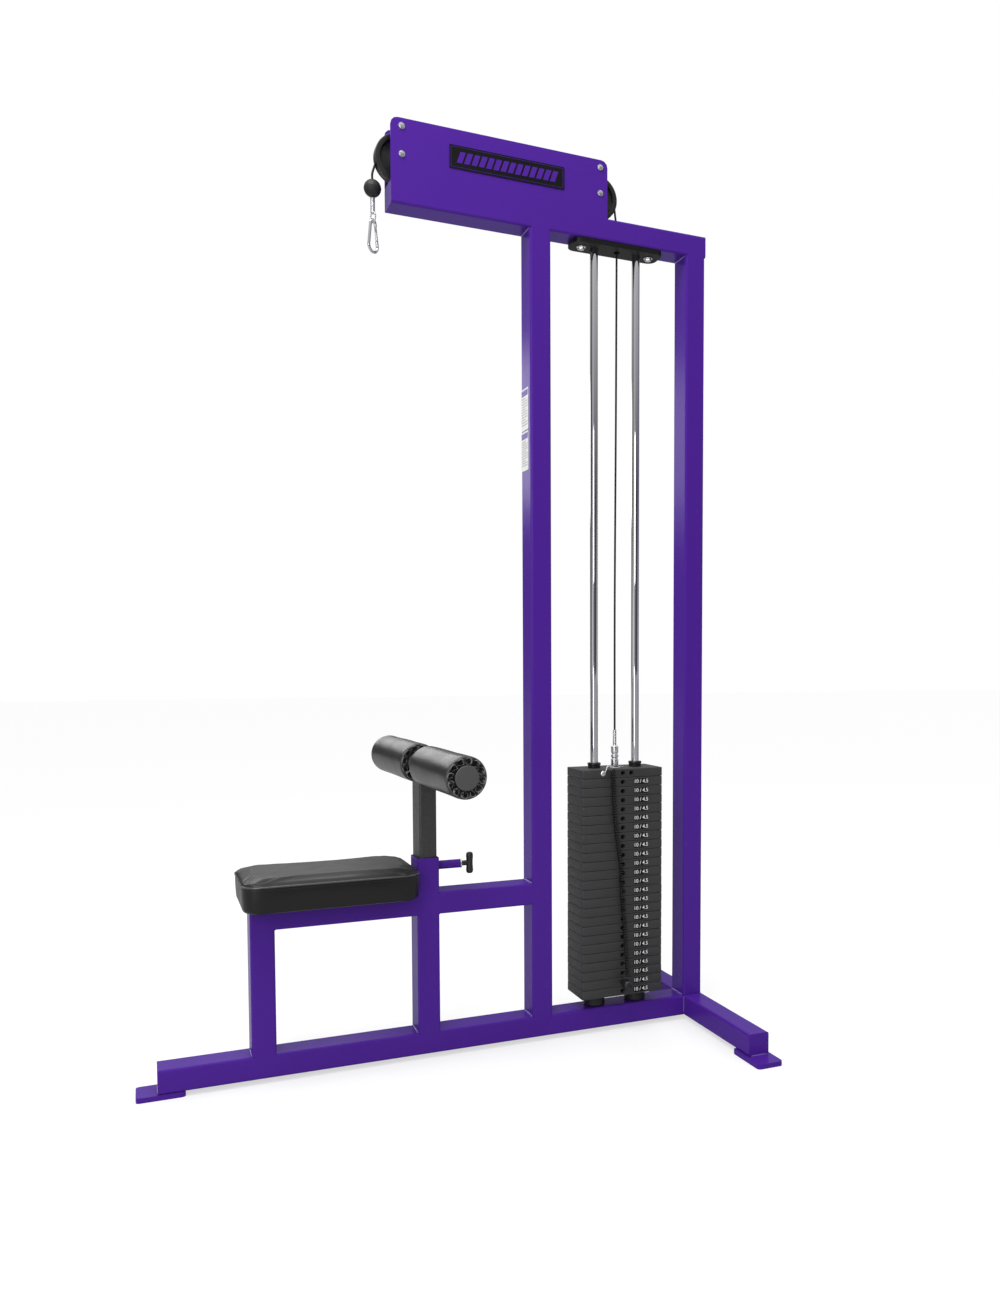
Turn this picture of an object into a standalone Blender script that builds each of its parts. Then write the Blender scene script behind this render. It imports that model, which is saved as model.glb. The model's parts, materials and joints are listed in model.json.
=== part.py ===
"""Lat pulldown machine: a welded tube frame with a seat, thigh rollers, two pulleys, a cable and a weight stack.

Metres, +Z up. +X runs from the seat towards the weight stack. The origin is on the floor, in the middle of
the machine's length and width. "right" is the -Y side and "left" the +Y side of someone seated at it.
"""

import math

import bmesh
import bpy
from mathutils import Matrix, Vector

# --- Driving dimensions -----------------------------------------------------------------------------------
GAP = 0.0003  # between pieces that touch
LENGTH = 1.5111  # over the foot plates
HALF_SPREAD = 0.446  # middle of the machine to the tip of a rear foot
SECTION_X = 0.0581  # frame tube, in the plane of the frame
SECTION_Y = 0.0739  # frame tube, across the frame
WALL = 0.003
CORNER = 0.005

# Stations along the machine, measured back from the tip of the front foot
BEAM_FRONT = 0.0476
SEAT_POST = 0.2596
KNEE_POST = 0.6699
MIDDLE_UPRIGHT = 0.9826
REAR_UPRIGHT = 1.4431
CROSS_BASE = 1.4451
CROSS_WIDTH = 0.059
TOP_BEAM_FRONT = 0.6211
TOP_BEAM_REAR = 1.5031
PULLEY_PLATE_REAR = 1.2026

# Heights above the floor
FOOT = 0.0127
BEAM_TOP = 0.0708
RAIL_TOP = 0.4352
KNEE_POST_TOP = 0.5247
TOP_BEAM_TOP = 2.2143
PULLEY_PLATE_TOP = 2.3621

# Weight stack
PLATE_PITCH = 0.0254
PLATE_GAP = 0.0004
PLATE_LENGTH = 0.2422
PLATE_DEPTH = 0.1117
PLATES_IN_BLOCKS = (6, 6, 6, 5)
STACK_BOTTOM = 0.1025
HEAD_PLATE = 0.0238
ROD_SPREAD = 0.0627  # half the distance between the guide rods
ROD_RADIUS = 0.011
ROD_HOLE = 0.013
STEM_RADIUS = 0.012
STEM_HOLE = 0.0136
PIN_RADIUS = 0.0047
PIN_HOLE = 0.0056
BUMPER_RADIUS = 0.030

# Pulleys and cable
AXLE_HEIGHT = 2.2755
KEEPER_HEIGHT = 2.3425
FRONT_AXLE = 0.6486
REAR_AXLE = 1.1816
PULLEY_RADIUS = 0.061
PULLEY_WIDTH = 0.024
CABLE_RADIUS = 0.00275
CABLE_LINE = 0.056  # pulley centre to cable centre
SIDE_PLATE = 0.005
BOLT_RADIUS = 0.005

# Hook end of the cable
HOOK = 0.5831
BALL_HEIGHT = 2.1961
BALL_RADIUS = 0.0212
EYE_WIRE = 0.0024
EYE_BOTTOM = 2.114
CARABINER_WIRE = 0.0036
CARABINER_TURN = math.radians(35)

# Seat
SEAT_FRONT = 0.2346
SEAT_LENGTH = 0.430
SEAT_WIDTH = 0.254
SEAT_HEIGHT = 0.078

# Thigh rollers
POST_X = 0.046
POST_Y = 0.060
POST_TURN = math.radians(4.5)  # the post turns this far in the play of its sleeve
POST_BOTTOM = 0.250
ROLLER_HEIGHT = 0.764
ROLLER_TILT = math.radians(1.1)  # the bar's right end hangs this much
ROLLER_RADIUS = 0.0515
ROLLER_INNER = 0.035
ROLLER_OUTER = 0.308
ROLLER_CAP_RADIUS = 0.030
ROLLER_AXLE_RADIUS = 0.0125

# Pop pin
PIN_HEIGHT = 0.4988
BARREL_LENGTH = 0.064
BARREL_RADIUS = 0.0115

# --- Derived places ---------------------------------------------------------------------------------------
MID_LENGTH = LENGTH / 2
KNEE_X = KNEE_POST + SECTION_X / 2 - MID_LENGTH
STACK_X = (MIDDLE_UPRIGHT + SECTION_X + REAR_UPRIGHT) / 2 - MID_LENGTH
STACK_TOP = STACK_BOTTOM + (sum(PLATES_IN_BLOCKS) + 1) * PLATE_PITCH
HEAD_TOP = STACK_TOP + HEAD_PLATE
PIN_LEVEL = STACK_BOTTOM + PLATE_PITCH * 1.5
PLATE_FRONT = -PLATE_DEPTH / 2
BEAM_UNDERSIDE = TOP_BEAM_TOP - SECTION_X
FRONT_AXLE_X = FRONT_AXLE - MID_LENGTH
REAR_AXLE_X = REAR_AXLE - MID_LENGTH
HOOK_X = HOOK - MID_LENGTH
CABLE_HOLE_X = STACK_X + 0.0047

# Finishes: colour, roughness, metallic
PURPLE = ((0.074, 0.019, 0.283, 1), 0.22, 0.0)
BLACK_STEEL = ((0.040, 0.040, 0.042, 1), 0.50, 0.0)
CHROME = ((0.75, 0.75, 0.77, 1), 0.12, 1.0)
ZINC = ((0.62, 0.62, 0.64, 1), 0.32, 1.0)
BLACK_PLASTIC = ((0.012, 0.012, 0.012, 1), 0.35, 0.0)
RUBBER = ((0.010, 0.010, 0.010, 1), 0.60, 0.0)
VINYL = ((0.014, 0.014, 0.015, 1), 0.38, 0.0)
BRONZE = ((0.35, 0.20, 0.08, 1), 0.40, 1.0)


# --- Modelling helpers ------------------------------------------------------------------------------------
def clear_scene():
    for obj in list(bpy.data.objects):
        bpy.data.objects.remove(obj, do_unlink=True)


def material(name, finish):
    colour, roughness, metallic = finish
    made = bpy.data.materials.new(name)
    made.use_nodes = True
    shader = made.node_tree.nodes["Principled BSDF"]
    shader.inputs["Base Color"].default_value = colour
    shader.inputs["Roughness"].default_value = roughness
    shader.inputs["Metallic"].default_value = metallic
    return made


def node(name, bm, finish, origin=(0, 0, 0), smooth=False):
    """Make an object from the mesh in world space, with its origin at the given point."""
    bmesh.ops.recalc_face_normals(bm, faces=bm.faces)
    mesh = bpy.data.meshes.new(name)
    bmesh.ops.translate(bm, verts=bm.verts, vec=-Vector(origin))
    bm.to_mesh(mesh)
    bm.free()
    obj = bpy.data.objects.new(name, mesh)
    obj.location = origin
    bpy.context.scene.collection.objects.link(obj)
    if finish:
        mesh.materials.append(material(name, finish))
    if smooth:
        mesh.shade_smooth()
        mesh.set_sharp_from_angle(angle=math.radians(40))
    return obj


def helper(name, bm):
    """An object that only shapes another one."""
    obj = node(name, bm, None)
    obj.hide_render = True
    obj.display_type = "WIRE"
    return obj


def boolean(obj, other, operation):
    modifier = obj.modifiers.new(other.name, "BOOLEAN")
    modifier.operation = operation
    modifier.object = other


def rounded_rectangle(width, height, radius, steps=2):
    """Corner points, counter-clockwise, of a rectangle centred on zero."""
    points = []
    for quarter in range(4):
        sign_x = 1 if quarter in (0, 3) else -1
        sign_y = 1 if quarter in (0, 1) else -1
        centre_x = sign_x * (width / 2 - radius)
        centre_y = sign_y * (height / 2 - radius)
        for step in range(steps + 1):
            angle = math.radians(90) * (quarter + step / steps)
            points.append((centre_x + radius * math.cos(angle), centre_y + radius * math.sin(angle)))
    return points


AXES = {
    "x": Matrix(((0, 0, 1), (1, 0, 0), (0, 1, 0))),
    "y": Matrix(((1, 0, 0), (0, 0, -1), (0, 1, 0))),
    "z": Matrix.Identity(3),
}


def placed(points, axis, along, centre):
    """Outline points at a distance along an axis; the outline's own x and y become the other two axes."""
    turn = AXES[axis]
    step = -along if axis == "y" else along
    return [Vector(centre) + turn @ Vector((x, y, step)) for x, y in points]


def lofted(bm, loops, caps=True):
    """Skin from loop to loop, each with the same number of points."""
    rings = [[bm.verts.new(point) for point in loop] for loop in loops]
    count = len(rings[0])
    for first, second in zip(rings, rings[1:]):
        for i in range(count):
            j = (i + 1) % count
            bm.faces.new((first[i], first[j], second[j], second[i]))
    if caps:
        bm.faces.new(list(reversed(rings[0])))
        bm.faces.new(rings[-1])
    return rings


def prism(outline, axis, low, high, centre=(0, 0, 0)):
    bm = bmesh.new()
    lofted(bm, [placed(outline, axis, low, centre), placed(outline, axis, high, centre)])
    return bm


def turned(profile, axis, centre, segments):
    """Revolve (radius, distance along the axis) points. A profile that starts and ends at radius 0 is a
    solid; any other profile closes on itself and leaves a bore."""
    bm = bmesh.new()
    rings = []
    for radius, along in profile:
        if radius == 0:
            rings.append([bm.verts.new(placed([(0, 0)], axis, along, centre)[0])])
            continue
        angles = [2 * math.pi * (i + 0.5) / segments for i in range(segments)]
        circle = [(radius * math.cos(angle), radius * math.sin(angle)) for angle in angles]
        rings.append([bm.verts.new(point) for point in placed(circle, axis, along, centre)])
    pairs = list(zip(rings, rings[1:]))
    if len(rings[0]) > 1:
        pairs.append((rings[-1], rings[0]))
    for first, second in pairs:
        for i in range(segments):
            j = (i + 1) % segments
            if len(first) == 1:
                bm.faces.new((first[0], second[j], second[i]))
            elif len(second) == 1:
                bm.faces.new((first[i], first[j], second[0]))
            else:
                bm.faces.new((first[i], first[j], second[j], second[i]))
    return bm


def rod_profile(radius, low, high, chamfer=0.0):
    if not chamfer:
        return [(0, low), (radius, low), (radius, high), (0, high)]
    inner = radius - chamfer
    return [(0, low), (inner, low), (radius, low + chamfer), (radius, high - chamfer), (inner, high), (0, high)]


def sleeve_profile(inner, outer, low, high):
    return [(inner, low), (outer, low), (outer, high), (inner, high)]


def swept(points, radius, sides, closed=False, bm=None):
    """A round tube along a line of points."""
    bm = bm or bmesh.new()
    points = [Vector(point) for point in points]
    count = len(points)
    rings = []
    previous = None
    for i, point in enumerate(points):
        if closed:
            tangent = points[(i + 1) % count] - points[i - 1]
        else:
            tangent = points[min(i + 1, count - 1)] - points[max(i - 1, 0)]
        tangent.normalize()
        if previous is None:
            guide = Vector((0, 1, 0)) if abs(tangent.y) < 0.9 else Vector((1, 0, 0))
            normal = (guide - tangent * guide.dot(tangent)).normalized()
        else:
            normal = (previous - tangent * previous.dot(tangent)).normalized()
        previous = normal
        side = tangent.cross(normal)
        angles = [2 * math.pi * (k + 0.5) / sides for k in range(sides)]
        ring = [point + radius * (math.cos(a) * normal + math.sin(a) * side) for a in angles]
        rings.append([bm.verts.new(place) for place in ring])
    pairs = list(zip(rings, rings[1:]))
    if closed:
        pairs.append((rings[-1], rings[0]))
    for first, second in pairs:
        for i in range(sides):
            j = (i + 1) % sides
            bm.faces.new((first[i], first[j], second[j], second[i]))
    if not closed:
        bm.faces.new(list(reversed(rings[0])))
        bm.faces.new(rings[-1])
    return bm


def smooth_route(points, count):
    """Points read from a Catmull-Rom curve through the given ones."""
    points = [Vector(point) for point in points]
    padded = [2 * points[0] - points[1], *points, 2 * points[-1] - points[-2]]
    spans = len(points) - 1
    route = []
    for i in range(count):
        place = spans * i / (count - 1)
        span = min(int(place), spans - 1)
        t = place - span
        a, b, c, d = padded[span : span + 4]
        route.append(
            0.5 * (2 * b + (c - a) * t + (2 * a - 5 * b + 4 * c - d) * t**2 + (3 * b - a - 3 * c + d) * t**3)
        )
    return route


def merged(*meshes):
    """Separate shapes in one mesh, for a cutter."""
    bm = meshes[0]
    for other in meshes[1:]:
        mesh = bpy.data.meshes.new("merge")
        other.to_mesh(mesh)
        other.free()
        bm.from_mesh(mesh)
        bpy.data.meshes.remove(mesh)
    return bm


def hole(axis, centre, radius, low, high, segments=16):
    return turned(rod_profile(radius, low, high), axis, centre, segments)


def drill(obj, *holes):
    boolean(obj, helper(f"{obj.name}_holes_{len(obj.modifiers)}", merged(*holes)), "DIFFERENCE")


def frame_tube(name, axis, low, high, centre, size, closed=(False, False), finish=PURPLE):
    """A hollow rounded tube. A closed end has its welded plate in the same piece."""
    outline = rounded_rectangle(*size, CORNER)
    inside = rounded_rectangle(size[0] - 2 * WALL, size[1] - 2 * WALL, CORNER - WALL)
    tube = node(name, prism(outline, axis, low, high, centre), finish)
    cavity_low = low + WALL if closed[0] else low - WALL
    cavity_high = high - WALL if closed[1] else high + WALL
    bore = helper(f"{name}_bore", prism(inside, axis, cavity_low, cavity_high, centre))
    boolean(tube, bore, "DIFFERENCE")
    return tube


# --- Frame ------------------------------------------------------------------------------------------------
def base():
    height = BEAM_TOP - FOOT - GAP
    middle = (BEAM_TOP + FOOT + GAP) / 2
    frame_tube(
        "base_beam", "x", BEAM_FRONT - MID_LENGTH, CROSS_BASE - MID_LENGTH - GAP,
        (0, 0, middle), (SECTION_Y, height), closed=(True, False),
    )
    cross_x = CROSS_BASE + CROSS_WIDTH / 2 - MID_LENGTH
    half = 0.389
    cross = frame_tube(
        "rear_cross_base", "y", -half, half, (cross_x, 0, middle), (CROSS_WIDTH, height), closed=(True, True)
    )
    drill(cross, hole("z", (cross_x, 0, 0), 0.005, FOOT - WALL, FOOT + 2 * WALL, 12))
    front_length = 0.1092
    foot = rounded_rectangle(front_length, SECTION_Y, 0.008)
    node("front_foot", prism(foot, "z", 0, FOOT, (front_length / 2 - MID_LENGTH, 0, 0)), PURPLE)
    rear_length = 0.126
    foot = rounded_rectangle(2 * (MID_LENGTH - cross_x), rear_length, 0.008)
    for side, sign in (("right", -1), ("left", 1)):
        centre = (cross_x, sign * (HALF_SPREAD - rear_length / 2), 0)
        node(f"rear_foot_{side}", prism(foot, "z", 0, FOOT, centre), PURPLE)


def uprights():
    size = (SECTION_X, SECTION_Y)
    for name, station, top in (
        ("seat_post", SEAT_POST, RAIL_TOP),
        ("knee_post", KNEE_POST, KNEE_POST_TOP),
        ("middle_upright", MIDDLE_UPRIGHT, BEAM_UNDERSIDE - GAP),
        ("rear_upright", REAR_UPRIGHT, BEAM_UNDERSIDE - GAP),
    ):
        centre = (station + SECTION_X / 2 - MID_LENGTH, 0, 0)
        post = frame_tube(name, "z", BEAM_TOP + GAP, top, centre, size)
        if name == "knee_post":
            drill(post, hole("x", (centre[0], 0, PIN_HEIGHT), 0.0055, 0.01, SECTION_X, 12))


def rails():
    middle = RAIL_TOP - SECTION_X / 2
    size = (SECTION_Y, SECTION_X)
    for name, start, end in (
        ("seat_rail", SEAT_POST + SECTION_X, KNEE_POST),
        ("rear_rail", KNEE_POST + SECTION_X, MIDDLE_UPRIGHT),
    ):
        frame_tube(name, "x", start + GAP - MID_LENGTH, end - GAP - MID_LENGTH, (0, 0, middle), size)


def top_beam():
    middle = TOP_BEAM_TOP - SECTION_X / 2
    beam = frame_tube(
        "top_beam", "x", TOP_BEAM_FRONT - MID_LENGTH, TOP_BEAM_REAR - MID_LENGTH,
        (0, 0, middle), (SECTION_Y, SECTION_X), closed=(True, True),
    )
    through = SECTION_X
    holes = [hole("z", (CABLE_HOLE_X, 0, middle), 0.009, -through, through, 16)]
    for sign in (-1, 1):
        place = (STACK_X + sign * 0.1003, 0, BEAM_UNDERSIDE)
        holes.append(hole("z", place, BOLT_RADIUS + GAP * 2, -WALL, 2 * WALL, 12))
    drill(beam, *holes)


def pulley_plates():
    length = PULLEY_PLATE_REAR - TOP_BEAM_FRONT
    low = TOP_BEAM_TOP + GAP
    height = PULLEY_PLATE_TOP - low
    radius = 0.018
    half = length / 2
    outline = [(-half, 0), (half, 0)]
    for centre_x, start in ((half - radius, 0), (radius - half, 90)):
        for step in range(4):
            angle = math.radians(start + 30 * step)
            outline.append((centre_x + radius * math.cos(angle), height - radius + radius * math.sin(angle)))
    middle_x = (TOP_BEAM_FRONT + PULLEY_PLATE_REAR) / 2 - MID_LENGTH
    for side, sign in (("right", -1), ("left", 1)):
        face = sign * SECTION_Y / 2
        inner = face - sign * SIDE_PLATE
        plate = node(
            f"pulley_plate_{side}",
            prism(outline, "y", min(face, inner), max(face, inner), (middle_x, 0, low)),
            PURPLE,
        )
        holes = []
        for axle_x in (FRONT_AXLE_X, REAR_AXLE_X):
            for level in (AXLE_HEIGHT, KEEPER_HEIGHT):
                holes.append(hole("y", (axle_x, face, level), BOLT_RADIUS + GAP, -0.01, 0.01, 12))
        drill(plate, *holes)
    name_x = (0.7686 + 1.0781) / 2 - MID_LENGTH
    face = -SECTION_Y / 2 - GAP
    name_plate = rounded_rectangle(0.3095, 0.0574, 0.002, 1)
    node("name_plate", prism(name_plate, "y", face - 0.0015, face, (name_x, 0, 2.294)), BLACK_PLASTIC)


# --- Pulleys and cable ------------------------------------------------------------------------------------
def pulley(name, axle_x):
    half = PULLEY_WIDTH / 2
    groove = CABLE_LINE - CABLE_RADIUS - GAP * 1.5
    profile = [
        (0.0090, -half), (0.0200, -half), (0.0200, -0.006), (0.0470, -0.006), (0.0480, -half),
        (PULLEY_RADIUS, -half), (PULLEY_RADIUS, -0.0085), (groove + 0.001, -0.0045), (groove, -0.002),
        (groove, 0.002), (groove + 0.001, 0.0045), (PULLEY_RADIUS, 0.0085), (PULLEY_RADIUS, half),
        (0.0480, half), (0.0470, 0.006), (0.0200, 0.006), (0.0200, half), (0.0090, half),
    ]
    axle = (axle_x, 0, AXLE_HEIGHT)
    node(name, turned(profile, "y", axle, 32), BLACK_PLASTIC, axle, smooth=True)


def bolt(name, place, radius=BOLT_RADIUS, head=0.0078, thick=0.005):
    """A bolt across both side plates, with its head and its nut outside them."""
    outside = SECTION_Y / 2 + GAP
    profile = [
        (0, -outside - thick), (head * 0.8, -outside - thick), (head, -outside - thick * 0.6), (head, -outside),
        (radius, -outside), (radius, outside), (head, outside), (head, outside + thick), (0, outside + thick),
    ]
    node(name, turned(profile, "y", place, 12), ZINC)


def pulleys():
    inner = SECTION_Y / 2 - SIDE_PLATE - GAP
    for end, axle_x in (("front", FRONT_AXLE_X), ("rear", REAR_AXLE_X)):
        pulley(f"{end}_pulley", axle_x)
        axle = (axle_x, 0, AXLE_HEIGHT)
        bushing = sleeve_profile(BOLT_RADIUS + GAP, 0.0085, -inner, inner)
        node(f"{end}_bushing", turned(bushing, "y", axle, 16), BRONZE)
        bolt(f"{end}_axle_bolt", axle)
        bolt(f"{end}_keeper_bolt", (axle_x, 0, KEEPER_HEIGHT), 0.0045)


def quarter_turn(centre_x, start, end, steps):
    points = []
    for i in range(steps + 1):
        angle = math.radians(start + (end - start) * i / steps)
        points.append(
            (centre_x + CABLE_LINE * math.cos(angle), 0, AXLE_HEIGHT + CABLE_LINE * math.sin(angle))
        )
    return points


def cable():
    """The cable is one piece; here each stretch that changes length is a node of its own."""
    run = quarter_turn(FRONT_AXLE_X, 180, 90, 8) + quarter_turn(REAR_AXLE_X, 90, 0, 8)
    node("cable_top_run", swept(run, CABLE_RADIUS, 8), RUBBER)
    start = (FRONT_AXLE_X - CABLE_LINE, 0, AXLE_HEIGHT - GAP)
    end = (HOOK_X, 0, BALL_HEIGHT + BALL_RADIUS + GAP)
    drop = smooth_route([start, (start[0] - 0.002, 0, start[2] - 0.018), (HOOK_X, 0, end[2] + 0.015), end], 9)
    node("cable_front_drop", swept(drop, CABLE_RADIUS, 8), RUBBER)
    rear_x = REAR_AXLE_X + CABLE_LINE
    drop = smooth_route(
        [
            (rear_x, 0, AXLE_HEIGHT - GAP), (rear_x + 0.004, 0, 2.245), (CABLE_HOLE_X, 0, 2.20),
            (CABLE_HOLE_X, 0, 2.13), (STACK_X + 0.003, 0, 1.70), (STACK_X, 0, 1.20),
            (STACK_X, 0, HEAD_TOP + 0.1055),
        ],
        36,
    )
    node("cable_rear_drop", swept(drop, CABLE_RADIUS, 8), RUBBER)


# --- Hook end ---------------------------------------------------------------------------------------------
def in_plane(turn, across, height):
    """A point in an upright plane through the hook line, turned about it."""
    return Vector((HOOK_X + across * math.cos(turn), across * math.sin(turn), height))


def hook_end():
    ball = (HOOK_X, 0, BALL_HEIGHT)
    steps = 10
    angles = [math.pi * i / steps - math.pi / 2 for i in range(steps + 1)]
    arc = [(BALL_RADIUS * math.cos(a), BALL_RADIUS * math.sin(a)) for a in angles]
    arc[0] = (0, -BALL_RADIUS)
    arc[-1] = (0, BALL_RADIUS)
    node("ball_stop", turned(arc, "z", ball, 20), RUBBER, smooth=True)

    low = BALL_HEIGHT - BALL_RADIUS - GAP
    eye_height = 0.0130
    eye_middle = EYE_BOTTOM + eye_height
    across = CARABINER_TURN + math.radians(90)
    ring = []
    for i in range(24):
        angle = 2 * math.pi * i / 24
        ring.append(in_plane(across, 0.008 * math.sin(angle), eye_middle - eye_height * math.cos(angle)))
    ferrule_low = eye_middle + eye_height - 0.002
    eye = node(
        "cable_eye",
        turned(rod_profile(0.006, ferrule_low, low, 0.001), "z", (HOOK_X, 0, 0), 16),
        ZINC, smooth=True,
    )
    boolean(eye, helper("cable_eye_loop", swept(ring, EYE_WIRE, 8, closed=True)), "UNION")
    carabiner()


def carabiner():
    top_radius = 0.008
    bottom_radius = 0.015
    top_line = EYE_BOTTOM + EYE_WIRE + CARABINER_WIRE + GAP
    height = 0.0778
    top = top_line - top_radius
    bottom = top_line - height + bottom_radius
    lean = math.asin((bottom_radius - top_radius) / (top - bottom))

    def gate_side(share):
        start = (top_radius * math.cos(lean), top + top_radius * math.sin(lean))
        end = (bottom_radius * math.cos(lean), bottom + bottom_radius * math.sin(lean))
        return start[0] + (end[0] - start[0]) * share, start[1] + (end[1] - start[1]) * share

    path = [gate_side(0.14), gate_side(0.04)]
    for i in range(9):
        angle = lean + (math.pi - 2 * lean) * i / 8
        path.append((top_radius * math.cos(angle), top + top_radius * math.sin(angle)))
    for i in range(13):
        angle = math.pi - lean + (math.pi + 2 * lean) * i / 12
        path.append((bottom_radius * math.cos(angle), bottom + bottom_radius * math.sin(angle)))
    path.append(gate_side(0.80))
    body = [in_plane(CARABINER_TURN, across, level) for across, level in path]
    origin = (HOOK_X, 0, EYE_BOTTOM)
    node("carabiner_body", swept(body, CARABINER_WIRE, 10), ZINC, origin, smooth=True)
    hinge = in_plane(CARABINER_TURN, *gate_side(0.765))
    ends = [in_plane(CARABINER_TURN, *gate_side(share)) for share in (0.155, 0.46, 0.765)]
    node("carabiner_gate", swept(ends, 0.003, 10), ZINC, hinge, smooth=True)


# --- Weight stack -----------------------------------------------------------------------------------------
def rod_places():
    return (("front", STACK_X - ROD_SPREAD), ("rear", STACK_X + ROD_SPREAD))


def plate_block(name, first_level, count):
    """Plates as one solid with a groove between each two, drilled for the rods, the stem and the pin."""
    outline = rounded_rectangle(PLATE_LENGTH, PLATE_DEPTH, 0.003, 1)
    neck = rounded_rectangle(PLATE_LENGTH - 0.006, PLATE_DEPTH - 0.006, 0.003, 1)
    loops = []
    for i in range(count):
        low = first_level + i * PLATE_PITCH
        high = low + PLATE_PITCH - PLATE_GAP
        if i:
            loops.append(placed(neck, "z", low, (STACK_X, 0, 0)))
        loops.append(placed(outline, "z", low, (STACK_X, 0, 0)))
        loops.append(placed(outline, "z", high, (STACK_X, 0, 0)))
        if i < count - 1:
            loops.append(placed(neck, "z", high, (STACK_X, 0, 0)))
    bm = bmesh.new()
    lofted(bm, loops)
    block = node(name, bm, BLACK_STEEL)
    top = first_level + count * PLATE_PITCH
    upright = [hole("z", (x, 0, 0), ROD_HOLE, first_level - 0.01, top + 0.01) for _, x in rod_places()]
    upright.append(hole("z", (STACK_X, 0, 0), STEM_HOLE, first_level - 0.01, top + 0.01))
    drill(block, *upright)
    pins = []
    for i in range(count):
        level = first_level + (i + 0.5) * PLATE_PITCH
        pins.append(hole("y", (STACK_X, 0, level), PIN_HOLE, PLATE_FRONT - 0.01, 0.024, 10))
    drill(block, *pins)


def head_plate():
    outline = rounded_rectangle(PLATE_LENGTH, PLATE_DEPTH, 0.003, 1)
    head = node("head_plate", prism(outline, "z", STACK_TOP, HEAD_TOP, (STACK_X, 0, 0)), BLACK_STEEL)
    upright = [hole("z", (x, 0, 0), ROD_HOLE, STACK_TOP - 0.01, HEAD_TOP + 0.01) for _, x in rod_places()]
    upright.append(hole("z", (STACK_X, 0, 0), STEM_HOLE, STACK_TOP - 0.01, HEAD_TOP + 0.01))
    drill(head, *upright)
    level = (STACK_TOP + HEAD_TOP) / 2 + 0.001
    reach = 0.012
    fronts = [hole("y", (STACK_X, 0, level), PIN_HOLE, PLATE_FRONT - 0.01, 0, 10)]
    for offset in (-0.0595, 0.0255):
        place = (STACK_X + offset, 0, level)
        fronts.append(hole("y", place, PIN_HOLE, PLATE_FRONT - 0.01, PLATE_FRONT + reach, 10))
    drill(head, *fronts)
    for end, x in rod_places():
        collar = sleeve_profile(ROD_RADIUS + GAP * 2, 0.0188, HEAD_TOP + GAP, HEAD_TOP + 0.0145)
        node(f"head_bushing_{end}", turned(collar, "z", (x, 0, 0), 16), BLACK_PLASTIC)


def stack():
    plate_block("weight_plate_bottom", STACK_BOTTOM, 1)
    level = STACK_BOTTOM + PLATE_PITCH
    for letter, count in zip("dcba", reversed(PLATES_IN_BLOCKS)):
        plate_block(f"weight_plates_{letter}", level, count)
        level += count * PLATE_PITCH
    head_plate()

    stem = node(
        "selector_stem",
        turned(rod_profile(STEM_RADIUS, STACK_BOTTOM + 0.006, HEAD_TOP, 0.001), "z", (STACK_X, 0, 0), 12),
        ZINC, smooth=True,
    )
    levels = [STACK_BOTTOM + (i + 0.5) * PLATE_PITCH for i in range(sum(PLATES_IN_BLOCKS) + 1)]
    drill(stem, *[hole("y", (STACK_X, 0, level), PIN_HOLE, -0.02, 0.02, 8) for level in levels])

    fitting = [
        (0, HEAD_TOP + GAP), (0.0105, HEAD_TOP + GAP), (0.0105, HEAD_TOP + 0.022), (0.0080, HEAD_TOP + 0.023),
        (0.0080, HEAD_TOP + 0.026), (0.0105, HEAD_TOP + 0.027), (0.0105, HEAD_TOP + 0.035),
        (0.0080, HEAD_TOP + 0.036), (0.0080, HEAD_TOP + 0.039), (0.0105, HEAD_TOP + 0.040),
        (0.0105, HEAD_TOP + 0.058), (0.0046, HEAD_TOP + 0.060), (0.0046, HEAD_TOP + 0.105),
        (0, HEAD_TOP + 0.105),
    ]
    node("cable_end_fitting", turned(fitting, "z", (STACK_X, 0, 0), 16), ZINC, smooth=True)

    pin = [
        (0, -0.020), (PIN_RADIUS - 0.001, -0.020), (PIN_RADIUS, -0.018), (PIN_RADIUS, 0.0565), (0.0070, 0.0580),
        (0.0090, 0.0605), (0.0090, 0.0690), (0.0130, 0.0760), (0.0142, 0.0840), (0.0130, 0.0920),
        (0.0080, 0.0975), (0, 0.0985),
    ]
    out = [(radius, -along) for radius, along in pin]
    node("selector_pin", turned(out, "y", (STACK_X, 0, PIN_LEVEL), 14), BLACK_PLASTIC, smooth=True)

    hang = [
        (STACK_X - 0.034, -0.0645, 0.735), (STACK_X - 0.0295, -0.0650, 0.622), (STACK_X - 0.0205, -0.0650, 0.541),
        (STACK_X - 0.0100, -0.0650, 0.471), (STACK_X - 0.0070, -0.0650, 0.396), (STACK_X + 0.0010, -0.0660, 0.296),
        (STACK_X + 0.0050, -0.0690, 0.221), (STACK_X + 0.0050, -0.0770, 0.162),
    ]
    node("lanyard", swept(smooth_route(hang, 34), 0.0062, 8), RUBBER)
    clip_level = (STACK_TOP + HEAD_TOP) / 2 + 0.001
    clip = [
        (STACK_X - 0.0595, PLATE_FRONT + 0.010, clip_level), (STACK_X - 0.0595, PLATE_FRONT - 0.004, clip_level),
        (STACK_X - 0.0590, PLATE_FRONT - 0.009, clip_level + 0.003),
        (STACK_X - 0.0550, PLATE_FRONT - 0.011, clip_level + 0.013),
        (STACK_X - 0.0500, PLATE_FRONT - 0.010, clip_level + 0.020),
        (STACK_X - 0.0420, PLATE_FRONT - 0.009, clip_level + 0.021),
    ]
    node("lanyard_clip", swept(smooth_route(clip, 14), 0.0018, 8), ZINC)


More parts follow.
